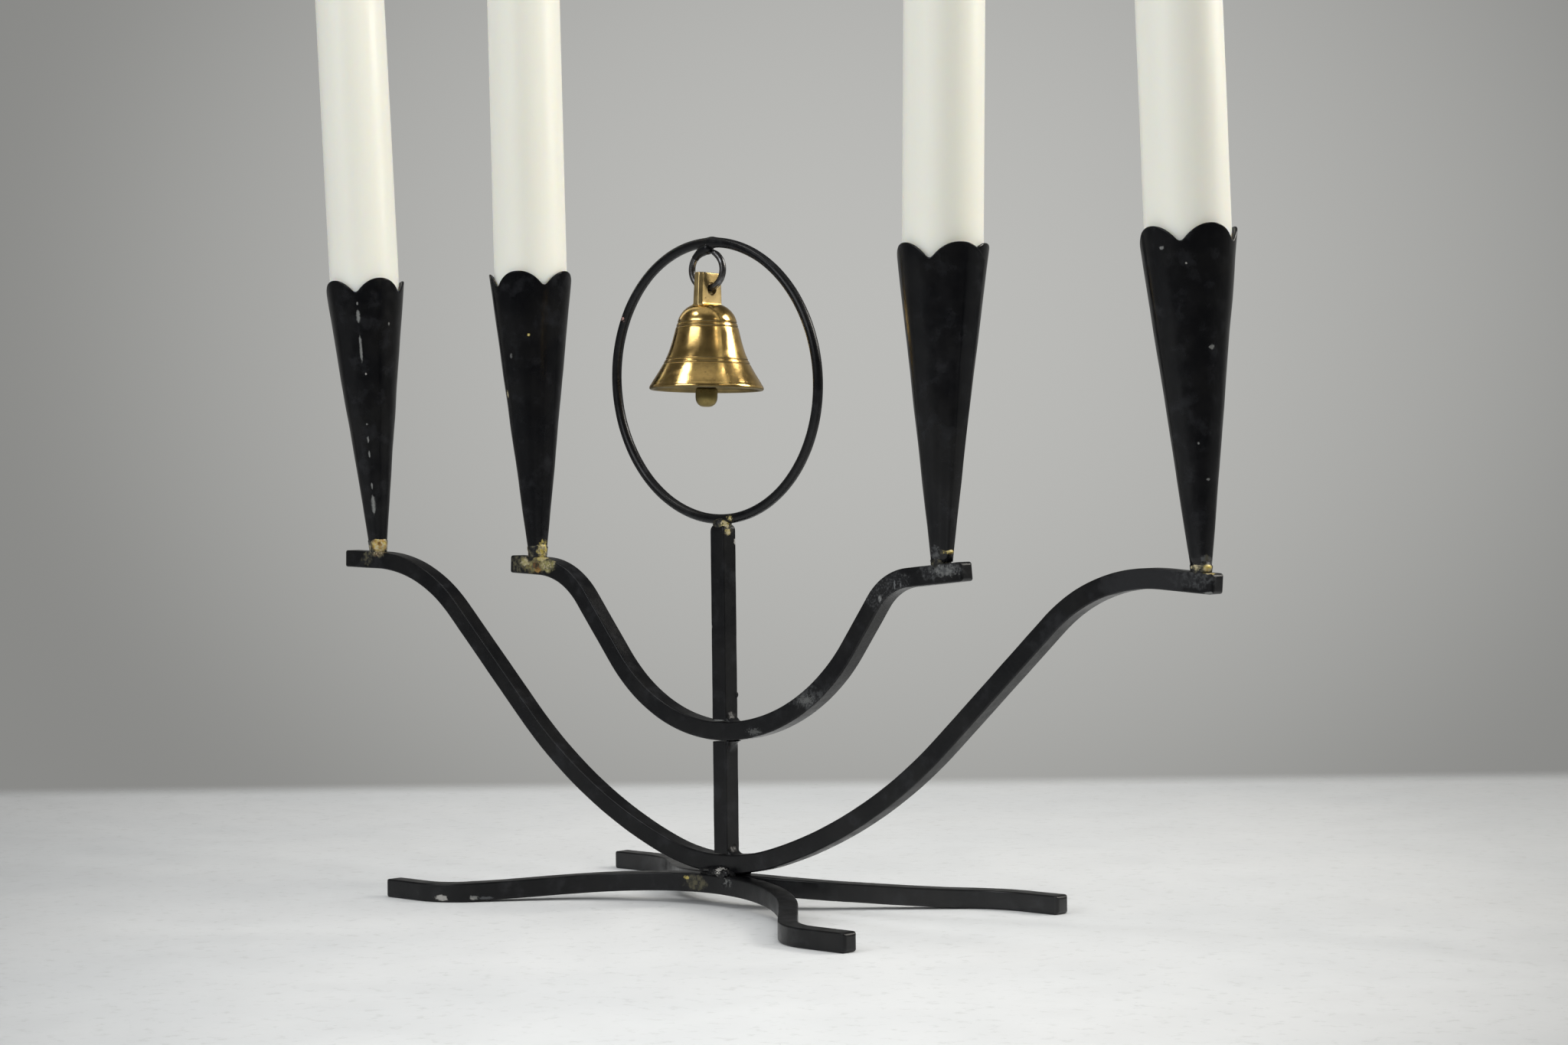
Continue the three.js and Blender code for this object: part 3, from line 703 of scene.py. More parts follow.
def hoop_body():
    """A bent wire ring whose ends butt at the top in a small ground bump."""
    up = Vector((0, -sin(HOOP_LEAN), cos(HOOP_LEAN)))
    centre = Vector((HOOP_X, 0, HOOP_BOTTOM)) + up * HOOP_RADIUS
    across = Vector((1, 0, 0)).cross(up)
    stations = []
    for i in range(HOOP_STEPS):
        a = 2 * pi * i / HOOP_STEPS
        spoke = Vector((sin(a), 0, 0)) + up * cos(a)
        from_joint = remainder(a - HOOP_JOINT, 2 * pi)
        grow = 1 + JOINT_RISE * exp(-(from_joint / JOINT_SPREAD) ** 2)
        stations.append((centre + spoke * HOOP_RADIUS, spoke, across, grow))
    return hand_swept(stations, round_section(HOOP_WIRE / 2, WIRE_SIDES), 8.8, 0.06, 0.02, looped=True)


frame_piece("bell_hoop", hoop_body(), lacquer("lacquer_hoop", [
    ((-34.6, -3.4, 168.6), (0.8, 1, 0.9), (PINK,), 0.75, 1.2, 1.1),
    ((4.4, -2.4, 110.6), (1.7, 1.4, 1.6), (YELLOW, OLIVE, CREAM), 0.85, 1, 1),
], seed=15.1, sheen=0.3))

HOOK_STEP = 4
HOOK_TAPER = 0.35
TAPER_STEPS = 2.5
RING_FRAME = Matrix.Translation(HOOK_CENTRE) @ Matrix.Rotation(HOOK_TURN, 4, "Z")


def arc_stations(radius, first, last, step):
    """Stations on an arc in the XZ plane; angles run clockwise from the top."""
    steps = ceil((last - first) / step)
    stations = []
    for i in range(steps + 1):
        a = radians(first + (last - first) * i / steps)
        spoke = (sin(a), 0, cos(a))
        stations.append((tuple(radius * v for v in spoke), spoke, (0, -1, 0)))
    return stations


def hook_body():
    """The open ring, which starts thinner at its right end."""
    arc = arc_stations(HOOK_RADIUS, *HOOK_ANGLES, HOOK_STEP)
    stations = [
        (at, spoke, across, scale * (1 - HOOK_TAPER * exp(-max(0, i - END_STEPS) / TAPER_STEPS)))
        for i, (at, spoke, across, scale) in enumerate(rounded_ends(arc, HOOK_WIRE, HOOK_WIRE / 3))
    ]
    body = hand_swept(stations, round_section(HOOK_WIRE / 2, WIRE_SIDES), 9.9, 0.05, 0.015)
    return moved(body, RING_FRAME)


frame_piece("bell_hook", hook_body(), steel("hook_steel"))

# Weld and braze beads

BEAD_STEPS = (56, 28)
LUMP_SIZES = (1.9, 0.8)
RIPPLE_TURN = 2.6
WELD_SINK = 0.1
STEM_FACE = STEM_X + BAR / 2
BASE_TOP = BASE_LIFT + BAR
WELD_RADII = (6.2, 2.1, 1.9)
DRIPS = (
    ((3.6, -5.3, 9.4), (2.4, 0.9, 1.5)), ((6.6, -5.5, 7), (0.9, 0.7, 1.9)),
    ((1.2, -5.2, 9.9), (1.9, 0.8, 0.8)), ((4.6, -5.5, 6.4), (0.8, 0.5, 0.9)),
    ((-3.4, -4.6, 10.2), (2.2, 0.9, 0.6)),
)


def bead_body(centre, radii, seed, lump=0.16, ripple=0):
    """An egg of cooled metal with lumps, and ripples along X where it was welded."""
    around, up = BEAD_STEPS
    turns = [pi * (i / up - 0.5) for i in range(1, up)]
    points, faces = revolve([(0, -1), *((cos(b), sin(b)) for b in turns), (0, 1)], around)
    coarse, fine = LUMP_SIZES
    out = []
    for place in points * np.array(radii):
        swell = 1 + lump * wobble(place, coarse, seed) + lump / 2 * wobble(place, fine, seed)
        swell += ripple * sin(place[0] * RIPPLE_TURN + 1.5 * wobble(place, 3, seed))
        out.append(np.array(centre) + place * swell)
    return np.array(out), faces


def base_weld(way):
    return bead_body((0, way * (BAR / 2 + SEAT), BASE_TOP + SEAT), WELD_RADII, 3 + way, 0.22, 0.05)


weld_black = lacquer("lacquer_welds", seed=17)
drips = [bead_body(at, radii, 60 + i, 0.3) for i, (at, radii) in enumerate(DRIPS)]
frame_piece("front_base_weld", join(base_weld(-1), *drips), lacquer("lacquer_front_weld", [
    ((2.6, -4.6, 10.4), (1.5, 1.6, 1.2), (CHIP,), 0.8, 2.4, 2.2),
    ((5.6, -6.2, 7.8), (0.9, 0.9, 1.2), (PALE,), 0.7, 2.2, 2),
], seed=18.5))
frame_piece("back_base_weld", base_weld(1), weld_black)

FILLET_STEPS = (28, 14, 8)
FILLET_HALF = 2.45
FILLET_HOLLOW = 1.15
FILLET_SINK = 0.5


def fillet_body(height, rise, reach, seed):
    """A hollow-faced fillet from the stem's right face out along a bar; rise may point down."""
    along, curve, inner = FILLET_STEPS
    ring = [(reach * (1 - s) ** FILLET_HOLLOW, rise * (1 - c) ** FILLET_HOLLOW) for s, c in quarter(curve)]
    ring += [(-FILLET_SINK * (k + 1) / inner, rise * (1 - (k + 1) / inner)) for k in range(inner)]
    sunk = -copysign(FILLET_SINK, rise)
    ring += [(reach * k / inner, sunk * (1 - k / inner)) for k in range(1, inner)]
    rings = []
    for i in range(along + 1):
        share = 2 * i / along - 1
        full = sqrt(max(0, 1 - abs(share) ** 3))
        points = []
        for x, z in ring:
            place = Vector((x, share * FILLET_HALF, z))
            swell = full * (1 + 0.16 * wobble(place, 1.6, seed) + 0.08 * wobble(place, 0.7, seed))
            points.append((STEM_FACE - WELD_SINK + x * swell, place.y, height + z * swell))
        rings.append(points)
    return loft(np.array(rings))


spatter = bead_body((STEM_FACE - 0.2, BAR / 2 - 0.5, 60), (0.55, 0.6, 0.9), 12.5)
upper_weld = join(fillet_body(UPPER_FOOT - 0.2, 4.1, 4.2, 7.5), spatter)
frame_piece("stem_foot_weld", fillet_body(LOWER_FOOT - 0.2, 3.5, 4.2, 5.5), weld_black)
frame_piece("lower_arm_weld", fillet_body(LOWER_TOP + 0.2, -4.4, 2.6, 6.5), weld_black)
frame_piece("upper_arm_weld", upper_weld, weld_black)
frame_piece(
    "hoop_braze",
    bead_body((STEM_X + 0.1, -0.2, STEM_TOP + 0.3), (3, 2.5, 2), 8.5, lump=0.07),
    braze("braze_hoop", [((3.6, -1.8, 108.9), (1.9, 1.8, 2), (CREAM, YELLOW, OLIVE), 0.9, 0.9, 1)]),
)

HOOK_WELD_ANGLES = (308, 364)
HOOK_WELD_RADIUS = 1.8
HOOK_WELD_RISE = 0.75
HOOK_WELD_LUMP = 0.08


def hook_weld_body(seed):
    """The painted weld that thickens the ring's left end into the hoop's underside."""
    first, last = HOOK_WELD_ANGLES
    wire = HOOK_WIRE / 2
    stations = []
    for at, spoke, across in arc_stations(HOOK_RADIUS, first, last, 2):
        angle = degrees(atan2(at[0], at[2])) % 360
        share = (angle - first) / (last - first) if at[0] < 0 else 1
        radius = wire + 0.04 + (HOOK_WELD_RADIUS - wire) * share ** 1.4
        stations.append((Vector(at) + Vector((0, 0, HOOK_WELD_RISE * share ** 2)), spoke, across, radius))
    at, spoke, across, radius = stations[-1]
    for s, c in quarter(5)[1:]:
        stations.append((at + Vector((s * radius * 0.8, 0, 0)), spoke, across, radius * max(0.05, c)))
    points, faces = sweep(stations, round_section(1, 28))
    out = [p + p / np.linalg.norm(p) * HOOK_WELD_LUMP * wobble(p, 1.3, seed) for p in points]
    return moved((np.array(out), faces), RING_FRAME)


frame_piece("hook_weld", hook_weld_body(9.5), weld_black)

# Cups

CUP_STEP = 2
CUP_LEVELS = 34
RIM_STEPS = 5
DENT = 0.16
CROWN_POWER = 2.2
VALLEY_START = 0.87


def smooth_step(value, low, high):
    t = min(1, max(0, (value - low) / (high - low)))
    return t * t * (3 - 2 * t)


def scallop_fall(share):
    """How far the rim has fallen from a scallop's crown at 0 to its rounded valley at 1."""
    rounding = max(0, share - VALLEY_START) ** 2 / (2 * (1 - VALLEY_START)) * CROWN_POWER
    deepest = 1 - (1 - VALLEY_START) / 2 * CROWN_POWER
    return (share ** CROWN_POWER - rounding) / deepest


def cup_body(seed):
    """A cone rolled from sheet, with a rounded scalloped rim, its lap and a few slight dents."""
    scallop = CUP_SWEEP / SCALLOPS
    rings = []
    for angle in range(0, CUP_SWEEP + 1, CUP_STEP):
        top = CUP_HEIGHT - SCALLOP_DEPTH * scallop_fall(abs(2 * (angle % scallop / scallop) - 1))
        lift = smooth_step(angle, 360 - LAP_STEP, 360) * LAP_LIFT
        spoke = spoke_at(radians(angle))

        def at(z, inset):
            place = spoke * (CUP_FOOT + CUP_SLOPE * z + lift - inset) + np.array((0, 0, z))
            return place + spoke * (DENT * wobble(place, 14, seed) + DENT / 4 * wobble(place, 5, seed))

        shoulder = top - SHEET / 2
        heights = [shoulder * k / CUP_LEVELS for k in range(CUP_LEVELS + 1)]
        rim = [pi * k / RIM_STEPS for k in range(1, RIM_STEPS)]
        rings.append(
            [at(z, SHEET) for z in heights]
            + [at(shoulder + SHEET / 2 * sin(b), SHEET / 2 + SHEET / 2 * cos(b)) for b in rim]
            + [at(z, 0) for z in reversed(heights)]
        )
    return loft(np.array(rings))


def cup_frames(place):
    """A cup's frame as it leans on its arm, and the same turned to its seam."""
    cup = CUPS[place]
    lean = Matrix.Translation(cup["foot"]) @ Matrix.Rotation(radians(cup["lean"]), 4, "Y")
    return lean, lean @ Matrix.Rotation(radians(cup["turn"]), 4, "Z")


CUP_SPOTS = {
    "outer_left": [
        ((-147.3, -6.6, 156.1), (0.3, 0.3, 0.4), (CHIP,), 0.8, 0.6, 1.5),
        ((-143.5, 0, 171.9), (0.35, 0.35, 0.6), (PALE,), 0.7, 0.8, 1.5),
    ],
    "inner_left": [
        ((-73.3, -0.6, 102.6), (1.1, 2, 1.6), (YELLOW, OLIVE), 0.8, 0.9, 1),
        ((-70.9, -7.8, 165.4), (0.5, 0.5, 0.5), (YELLOW,), 0.75, 0.5, 1.4),
        ((-70.9, -7.8, 165.4), (0.22, 0.4, 0.22), (CREAM,), 1, 0.2, 1.4),
        ((-80.5, -7.7, 147.9), (0.6, 0.6, 1.1), (CREAM,), 0.6, 1.2, 1.4),
        ((-76.8, -9.6, 159.3), (0.5, 0.5, 0.8), (PALE,), 0.4, 1.2, 1.4),
    ],
    "inner_right": [
        ((81.4, -2.9, 101.6), (1.4, 1, 2.2), (GREY, HAZE), 0.6, 1.6, 1.3),
    ],
    "outer_right": [
        ((167.9, -1.4, 100.4), (1.6, 1.8, 1.4), (OLIVE, GREY), 0.6, 0.8, 1),
        ((171.3, -3.5, 153.1), (1, 1, 0.6), (PALE,), 0.65, 1.6, 1.8),
        ((168.9, -2.2, 120.3), (0.6, 0.6, 0.4), (PALE,), 0.6, 1.2, 1.8),
        ((167.9, -4.8, 129.3), (0.35, 0.35, 0.4), (PALE,), 0.6, 0.8, 1.8),
        ((162.3, -11.9, 177.8), (0.9, 0.6, 0.5), (PALE,), 0.7, 0.8, 1.4),
        ((168.2, -9.7, 173.8), (0.35, 0.4, 0.35), (CHIP,), 0.7, 0.8, 1.4),
    ],
}
SCRATCH_ENDS = (Vector((-147.8, -9.5, 180.1)), Vector((-148.4, -2.9, 110.5)))
SCRATCH_RUNS = (
    (0.02, 0.035, 0.3), (0.05, 0.12, 0.6), (0.15, 0.31, 0.42), (0.57, 0.576, 0.3), (0.625, 0.66, 0.3),
    (0.69, 0.73, 0.28), (0.835, 0.872, 0.25), (0.885, 0.99, 0.6),
)
CUP_SCRATCHES = {
    "outer_left": [
        (*(SCRATCH_ENDS[0].lerp(SCRATCH_ENDS[1], share) for share in (a, b)), width, PALE, 0.9)
        for a, b, width in SCRATCH_RUNS
    ],
}
CUP_SHINE = {"inner_left": 0.16}
COLLARS = {
    "outer_left": dict(height=2.8, toward=-20, swell=0.15, rise=1.2, spots=[
        ((-147.9, -1.4, 102), (2.8, 3.4, 2.6), (CREAM, AMBER, YELLOW), 0.95, 0.5, 0.8),
        ((-147.4, -1.6, 102.2), (0.9, 0.9, 0.9), (AMBER, UMBER), 0.8, 0.8, 1.2),
        ((-151, -2.2, 101.4), (1, 1.6, 2.2), (GREY, CREAM), 0.7, 0.9, 1.2),
    ]),
    "inner_left": dict(height=2.9, toward=-5, swell=0.2, rise=1.6, spots=[
        ((-73.6, -0.6, 101), (1.5, 2.2, 3.2), (YELLOW, CREAM, OLIVE), 0.9, 0.6, 0.9),
        ((-78.5, -2.2, 100.4), (0.9, 1.6, 2.8), (CREAM, UMBER, OLIVE), 0.8, 0.8, 1.1),
    ]),
    "inner_right": dict(height=0.6, toward=-8, swell=1.55, rise=2.6, spots=[
        ((84.8, -0.6, 101.4), (2.2, 2.2, 2), (OLIVE, UMBER, YELLOW), 0.85, 0.7, 1.1),
        ((84.9, -1.4, 101.9), (0.9, 1.2, 0.6), (CREAM, YELLOW), 0.9, 0.5, 1.1),
        ((84.6, -1.4, 100.4), (0.7, 1.2, 0.5), (PALE, CREAM), 0.8, 0.7, 1.1),
    ]),
    "outer_right": dict(height=0.5, toward=-25, swell=0.75, rise=0, spots=[
        ((168.8, -1.6, 98.2), (1.9, 2.2, 1.3), (CREAM, YELLOW), 0.95, 0.4, 0.8),
        ((165.4, -2.9, 98.4), (2.6, 1, 0.7), (CREAM, OLIVE), 0.75, 0.9, 1.1),
    ]),
}
COLLAR_STEPS = (72, 30)
COLLAR_LOW = -2.6
DROP_WIDE = 0.6
DROP_HIGH = 1.1


def collar_body(seed, height, toward, swell, rise):
    """Braze round a cup's foot: a thin uneven sleeve, swollen towards one side."""
    around, levels = COLLAR_STEPS
    high = max(height, rise + 1.5) + 1
    rings = []
    for k in range(levels + 1):
        z = COLLAR_LOW + (high - COLLAR_LOW) * k / levels
        narrow = 0.5 + 0.5 * smooth_step(z, COLLAR_LOW - 0.2, COLLAR_LOW + 0.8)
        ring = []
        for j in range(around):
            a = 2 * pi * j / around
            spoke = spoke_at(a)
            place = spoke * CUP_FOOT + np.array((0, 0, z))
            reach = height + 0.5 * wobble(spoke * CUP_FOOT, 2.2, seed)
            film = 0.34 * smooth_step(reach - z, -0.3, 0.5) - 0.14
            film += 0.07 * wobble(place, 1.3, seed) + 0.05 * wobble(place, 0.5, seed)
            aside = remainder(a - radians(toward), 2 * pi)
            film += swell * exp(-(aside / DROP_WIDE) ** 2 - ((z - rise) / DROP_HIGH) ** 2)
            ring.append(spoke * (CUP_FOOT + CUP_SLOPE * z + film) * narrow + np.array((0, 0, z)))
        rings.append(ring)
    return loft(np.array(rings))


for number, place in enumerate(CUPS):
    leaning, turned = cup_frames(place)
    marks = CUP_SPOTS[place], CUP_SCRATCHES.get(place, ())
    shine = CUP_SHINE.get(place, LACQUER_SHINE)
    finish = lacquer("lacquer_cup_" + place, *marks, 20.0 + 3 * number, 0.2, shine, 0.05)
    frame_piece("candle_cup_" + place, moved(cup_body(number + 1.5), turned), finish)
    collar = dict(COLLARS[place])
    metal = braze("braze_" + place, collar.pop("spots"))
    frame_piece("cup_braze_" + place, moved(collar_body(30.5 + number, **collar), leaning), metal)

# Candles and wicks

CANDLE_STEPS = 72
CANDLE_LEVELS = 60
TIP_STEPS = 8
TIP_HEIGHT = 5
TIP_RADIUS = 6
BUTT_EASE = 0.4
WICK_BORE = 1.1
BORE_DEPTH = 0.6
WICK_RADIUS = 0.8
WICK_REACH = 9
WICK_BEND = 2.2
WICK_STEPS = 160
STRANDS = 3
STRAND_TURN = 2.2


def candle_body(seed):
    """A dipped candle, very slightly uneven, on its tapered butt."""
    butt = CUP_FOOT + CUP_SLOPE * CANDLE_FOOT - SHEET - CANDLE_FIT
    shoulder = CANDLE_FOOT + (CANDLE_RADIUS - butt) / CUP_SLOPE
    tip_foot = CANDLE_TOP - TIP_HEIGHT
    profile = [(0, CANDLE_FOOT), (butt - BUTT_EASE, CANDLE_FOOT), (butt, CANDLE_FOOT + BUTT_EASE)]
    for i in range(CANDLE_LEVELS + 1):
        profile.append((CANDLE_RADIUS, shoulder + (tip_foot - shoulder) * i / CANDLE_LEVELS))
    for s, c in quarter(TIP_STEPS)[1:]:
        profile.append((TIP_RADIUS + (CANDLE_RADIUS - TIP_RADIUS) * c, tip_foot + TIP_HEIGHT * s))
    floor = CANDLE_TOP - BORE_DEPTH
    profile += [(WICK_BORE + 1, CANDLE_TOP), (WICK_BORE, floor), (0, floor)]
    points, faces = revolve(profile, CANDLE_STEPS)
    for p in points:
        radius = hypot(p[0], p[1])
        if radius > WICK_BORE * 2:
            inset = 0.05 * (1 + wobble((p[0], p[1], p[2] / 4), 9, seed))
            p[:2] *= 1 - inset / radius
    return points, faces


def wick_body():
    """Three twisted strands, bent over a little at the top."""
    strands = []
    low = CANDLE_FOOT + 1
    high = CANDLE_TOP + WICK_REACH
    for s in range(STRANDS):
        stations = []
        for i in range(WICK_STEPS + 1):
            z = low + (high - low) * i / WICK_STEPS
            share = max(0, (z - CANDLE_TOP) / WICK_REACH)
            offset = spoke_at(2 * pi * s / STRANDS + z * STRAND_TURN) * WICK_RADIUS * 0.45
            at = offset + np.array((WICK_BEND * share ** 2, 0, z))
            stations.append((at, (1, 0, 0), (0, 1, 0)))
        strands.append(sweep(rounded_ends(stations, WICK_RADIUS), round_section(WICK_RADIUS * 0.52, 8)))
    return join(*strands)


candle_wax = wax("candle_wax")
wick_cotton = cotton("wick_cotton")
for number, place in enumerate(CUPS):
    turned = cup_frames(place)[1]
    body = "candle_" + place
    wick = "wick_" + place
    make(body + "_fine", moved(candle_body(40.5 + number), turned), body, body, candle_wax)
    make(wick + "_fine", moved(wick_body(), turned), body, wick, wick_cotton)

# Bell

BELL_STEPS = 144
DOME_STEPS = 16
FLANK_STEPS = 20
GROOVE_STEPS = 4
DOME = (1.8, 17.9, 6.8)
FLANK = (
    (8.42, 19.4, 12), (9.05, 17.2, 13.5), (10.75, 11.1, 19), (12.2, 7.8, 26.5), (13.75, 5, 31),
    (15.75, 1.75, 29), (MOUTH_RADIUS, 0.62, 4),
)
LIP = ((BELL_WALL - 0.1, 0.1), (0.7, 0), (0.35, 0.02), (0.12, 0.18), (0.02, 0.4))


def bezier(a, b, c, d, t):
    s = 1 - t
    return s ** 3 * a + 3 * s * s * t * b + 3 * s * t * t * c + t ** 3 * d


def through(points, steps):
    """A smooth line down through (radius, height, lean in degrees) points."""
    line = []
    for first, last in zip(points, points[1:]):
        start, end = np.array(first[:2]), np.array(last[:2])
        pull = np.linalg.norm(end - start) / 3
        leave, arrive = (
            np.array((sin(radians(p[2])), -cos(radians(p[2])))) * pull for p in (first, last)
        )
        line += [bezier(start, start + leave, end - arrive, end, i / steps) for i in range(steps)]
    return line + [np.array(points[-1][:2])]


def bell_side(inset):
    """The bell's line from the crown's edge to its lip, drawn in by a wall thickness."""
    middle, height, radius = DOME
    dome = []
    for i in range(DOME_STEPS + 1):
        a = pi / 2 - (pi / 2 - FLANK_LEAN) * i / DOME_STEPS
        dome.append(np.array((middle + (radius - inset) * cos(a), height + (radius - inset) * sin(a))))
    flank = [(r - inset / cos(radians(lean)), z, lean) for r, z, lean in FLANK]
    return dome, through(flank, FLANK_STEPS)


def groove_depth(z):
    """The V grooves round the bell, in pairs."""
    centres = [height + side * GROOVE_PITCH / 2 for height in GROOVES for side in (1, -1)]
    return max(0, *(GROOVE_DEPTH * (1 - abs(z - centre) * 2 / GROOVE_WIDTH) for centre in centres))


def bell_shell():
    """The bell from inside its crown, down round its lip and up to the top of its crown."""
    dome, flank = bell_side(0)
    inside = [tuple(p) for line in bell_side(BELL_WALL) for p in line]
    outside = [tuple(p) for p in dome[:-1]]
    for (r0, z0), (r1, z1) in zip([dome[-1]] + flank[:-1], flank):
        for k in range(GROOVE_STEPS):
            z = z0 + (z1 - z0) * k / GROOVE_STEPS
            outside.append((r0 + (r1 - r0) * k / GROOVE_STEPS - groove_depth(z), z))
    outside.append(tuple(flank[-1]))
    lip = [(MOUTH_RADIUS - inset, z) for inset, z in LIP]
    profile = [(0, inside[0][1])] + inside + lip + outside[::-1] + [(0, outside[0][1])]
    return revolve(profile, BELL_STEPS)


LUG_FILLET = 0.7
LUG_EDGE = 0.12
LUG_EASE = 0.3
HOLE_EASE = 0.35


def lug_section(scale=1, grow=0):
    """A rectangle with wide bevels whose corners are eased, thin along X."""
    x = LUG_THICK / 2 * scale + grow
    y = LUG_WIDE / 2 * scale + grow
    b = LUG_BEVEL * scale
    corners = [(x, y - b), (x - b, y), (b - x, y), (-x, y - b)]
    corners += [(-cx, -cy) for cx, cy in corners]
    points = []
    for i, corner in enumerate(corners):
        here = np.array(corner)
        for other in (corners[i - 1], corners[(i + 1) % 8]):
            way = np.array(other) - here
            points.append(here + way / np.linalg.norm(way) * LUG_EDGE)
    return points


def dome_height(radius):
    middle, height, dome = DOME
    reach = min(max(0, radius - middle), dome)
    return height + sqrt(dome ** 2 - reach ** 2)


def lug_body():
    """The lug, its foot flared on to the crown and its top edges eased."""
    rings = []
    for s, c in quarter(4):
        rise = LUG_FILLET * (1 - c) - 0.15
        flare = lug_section(1, LUG_FILLET * (1 - s))
        rings.append([(x, y, dome_height(hypot(x, y)) + rise) for x, y in flare])
    low = BELL_HEIGHT + LUG_FILLET
    for k in range(1, 13):
        z = low + (LUG_TOP - LUG_EASE - low) * k / 12
        scale = 1 + (LUG_TAPER - 1) * (z - BELL_HEIGHT) / (LUG_TOP - BELL_HEIGHT)
        rings.append([(x, y, z) for x, y in lug_section(scale)])
    for s, c in quarter(3)[1:]:
        z = LUG_TOP - LUG_EASE * (1 - s)
        rings.append([(x, y, z) for x, y in lug_section(LUG_TAPER, -LUG_EASE * (1 - c))])
    return loft(np.array(rings))


def drill_body():
    """A drill for the hole, flared at the lug's two faces so that the rims come out eased."""
    face = LUG_THICK / 2
    profile = [(0, -4), (LUG_HOLE + 1.2, -4), (LUG_HOLE + 0.45, -face - 0.15)]
    for s, c in quarter(4)[1:]:
        profile.append((LUG_HOLE + HOLE_EASE * (1 - s), HOLE_EASE * (1 - c) - face))
    profile += [(r, -z) for r, z in reversed(profile)]
    across = Matrix.Translation((0, 0, HOLE_HEIGHT)) @ Matrix.Rotation(pi / 2, 4, "Y")
    return moved(revolve(profile, 48), across)


def drilled(obj, body):
    """Cuts a body out of an object and keeps the result as its mesh."""
    tool = smooth_object("drill", body)
    cut = obj.modifiers.new("drill", "BOOLEAN")
    cut.operation = "DIFFERENCE"
    cut.object = tool
    cut.solver = "EXACT"
    bpy.context.view_layer.update()
    mesh = bpy.data.meshes.new_from_object(obj.evaluated_get(bpy.context.evaluated_depsgraph_get()))
    obj.modifiers.remove(cut)
    bpy.data.objects.remove(tool)
    obj.data = mesh
    mesh.shade_smooth()
    mesh.set_sharp_from_angle(angle=radians(28))
    obj.modifiers.new("weighted", "WEIGHTED_NORMAL").keep_sharp = True


STAPLE_REACH = 1.6
EYE_HOLE = 1.1
EYE_STEP = 9
ROD_RADIUS = 0.55
CLAPPER_LINE = (
    (1, 0.04), (1.75, 0.25), (2.35, 0.7), (2.8, 1.3), (3.05, 2), (3.15, 2.8), (3.15, 4.8), (3, 5.2),
    (2.6, 5.5), (1.1, 6.4), (0.62, 7.4), (ROD_RADIUS, 9),
)


def staple_body():
    """A bent wire with both ends in the bell's crown."""
    middle = STAPLE_PIVOT + STAPLE_REACH
    bend = [((x, y, z + middle), *rest, 1) for (x, y, z), *rest in arc_stations(STAPLE_REACH, 90, 270, 7.5)]
    right, left = (((way * STAPLE_REACH, 0, STAPLE_TOP), (way, 0, 0), (0, -1, 0), 1) for way in (1, -1))
    return sweep([right, *bend, left], round_section(STAPLE_WIRE / 2, 14))


def clapper_body():
    """A turned stub with a rounded foot on a rod and an eye."""
    eye_centre = STAPLE_PIVOT - (EYE_HOLE - STAPLE_WIRE / 2 - SEAT)
    arc = arc_stations(EYE_HOLE + STAPLE_WIRE / 2, 0, 360 - EYE_STEP, EYE_STEP)
    eye = sweep([(*s, 1) for s in arc], round_section(STAPLE_WIRE / 2, 12), looped=True)
    eye = moved(eye, Matrix.Translation((0, 0, eye_centre)) @ Matrix.Rotation(pi / 2, 4, "Z"))
    foot = STAPLE_PIVOT - CLAPPER_LENGTH - CLAPPER_BALL
    top = eye_centre - EYE_HOLE - 0.3
    profile = [(0, foot)] + [(r, foot + z) for r, z in CLAPPER_LINE] + [(ROD_RADIUS, top), (0, top)]
    return join(revolve(profile, 48), eye)


to_camera = Matrix.Rotation(CAMERA_TURN, 4, "Z")
askew = Matrix.Rotation(BELL_ASKEW, 4, "Y") @ Matrix.Rotation(BELL_FORWARD, 4, "X")
askew = to_camera @ askew @ to_camera.inverted()
hole_place = Matrix.Translation(BELL_PLACE + Vector((0, 0, HOLE_HEIGHT)))
bell_place = hole_place @ askew @ Matrix.Translation((0, 0, -HOLE_HEIGHT))


def bell_piece(name, body, rides, stands_for, material, weighted=True):
    return make(name, moved(body, bell_place), rides, stands_for, material, weighted)


# The bell's last number, 0.85, is how strongly painted shade darkens its downward faces inside
bell_brass = brass("bell_brass", colour(0.93, 0.63, 0.23), colour(0.44, 0.29, 0.105), 0.6, 0.13, 0.85)
lug_brass = brass("lug_brass", colour(0.72, 0.54, 0.25), colour(0.30, 0.21, 0.08), 0.7, 0.3)
# Darker brass for the clapper and staple: partly dull metal, partly painted shade for hanging inside the
# bell
dull_shaded_brass = brass("clapper_brass", colour(0.30, 0.235, 0.09), colour(0.12, 0.09, 0.04), 0.8, 0.42)
bell_piece("bell_shell_fine", bell_shell(), "bell", "bell", bell_brass)
lug = bell_piece("bell_lug_fine", lug_body(), "bell", "bell", lug_brass, weighted=False)
drilled(lug, moved(drill_body(), bell_place))
bell_piece("clapper_staple_fine", staple_body(), "bell", "clapper_staple", dull_shaded_brass)
bell_piece("clapper_fine", clapper_body(), "clapper", "clapper", dull_shaded_brass)

# Camera

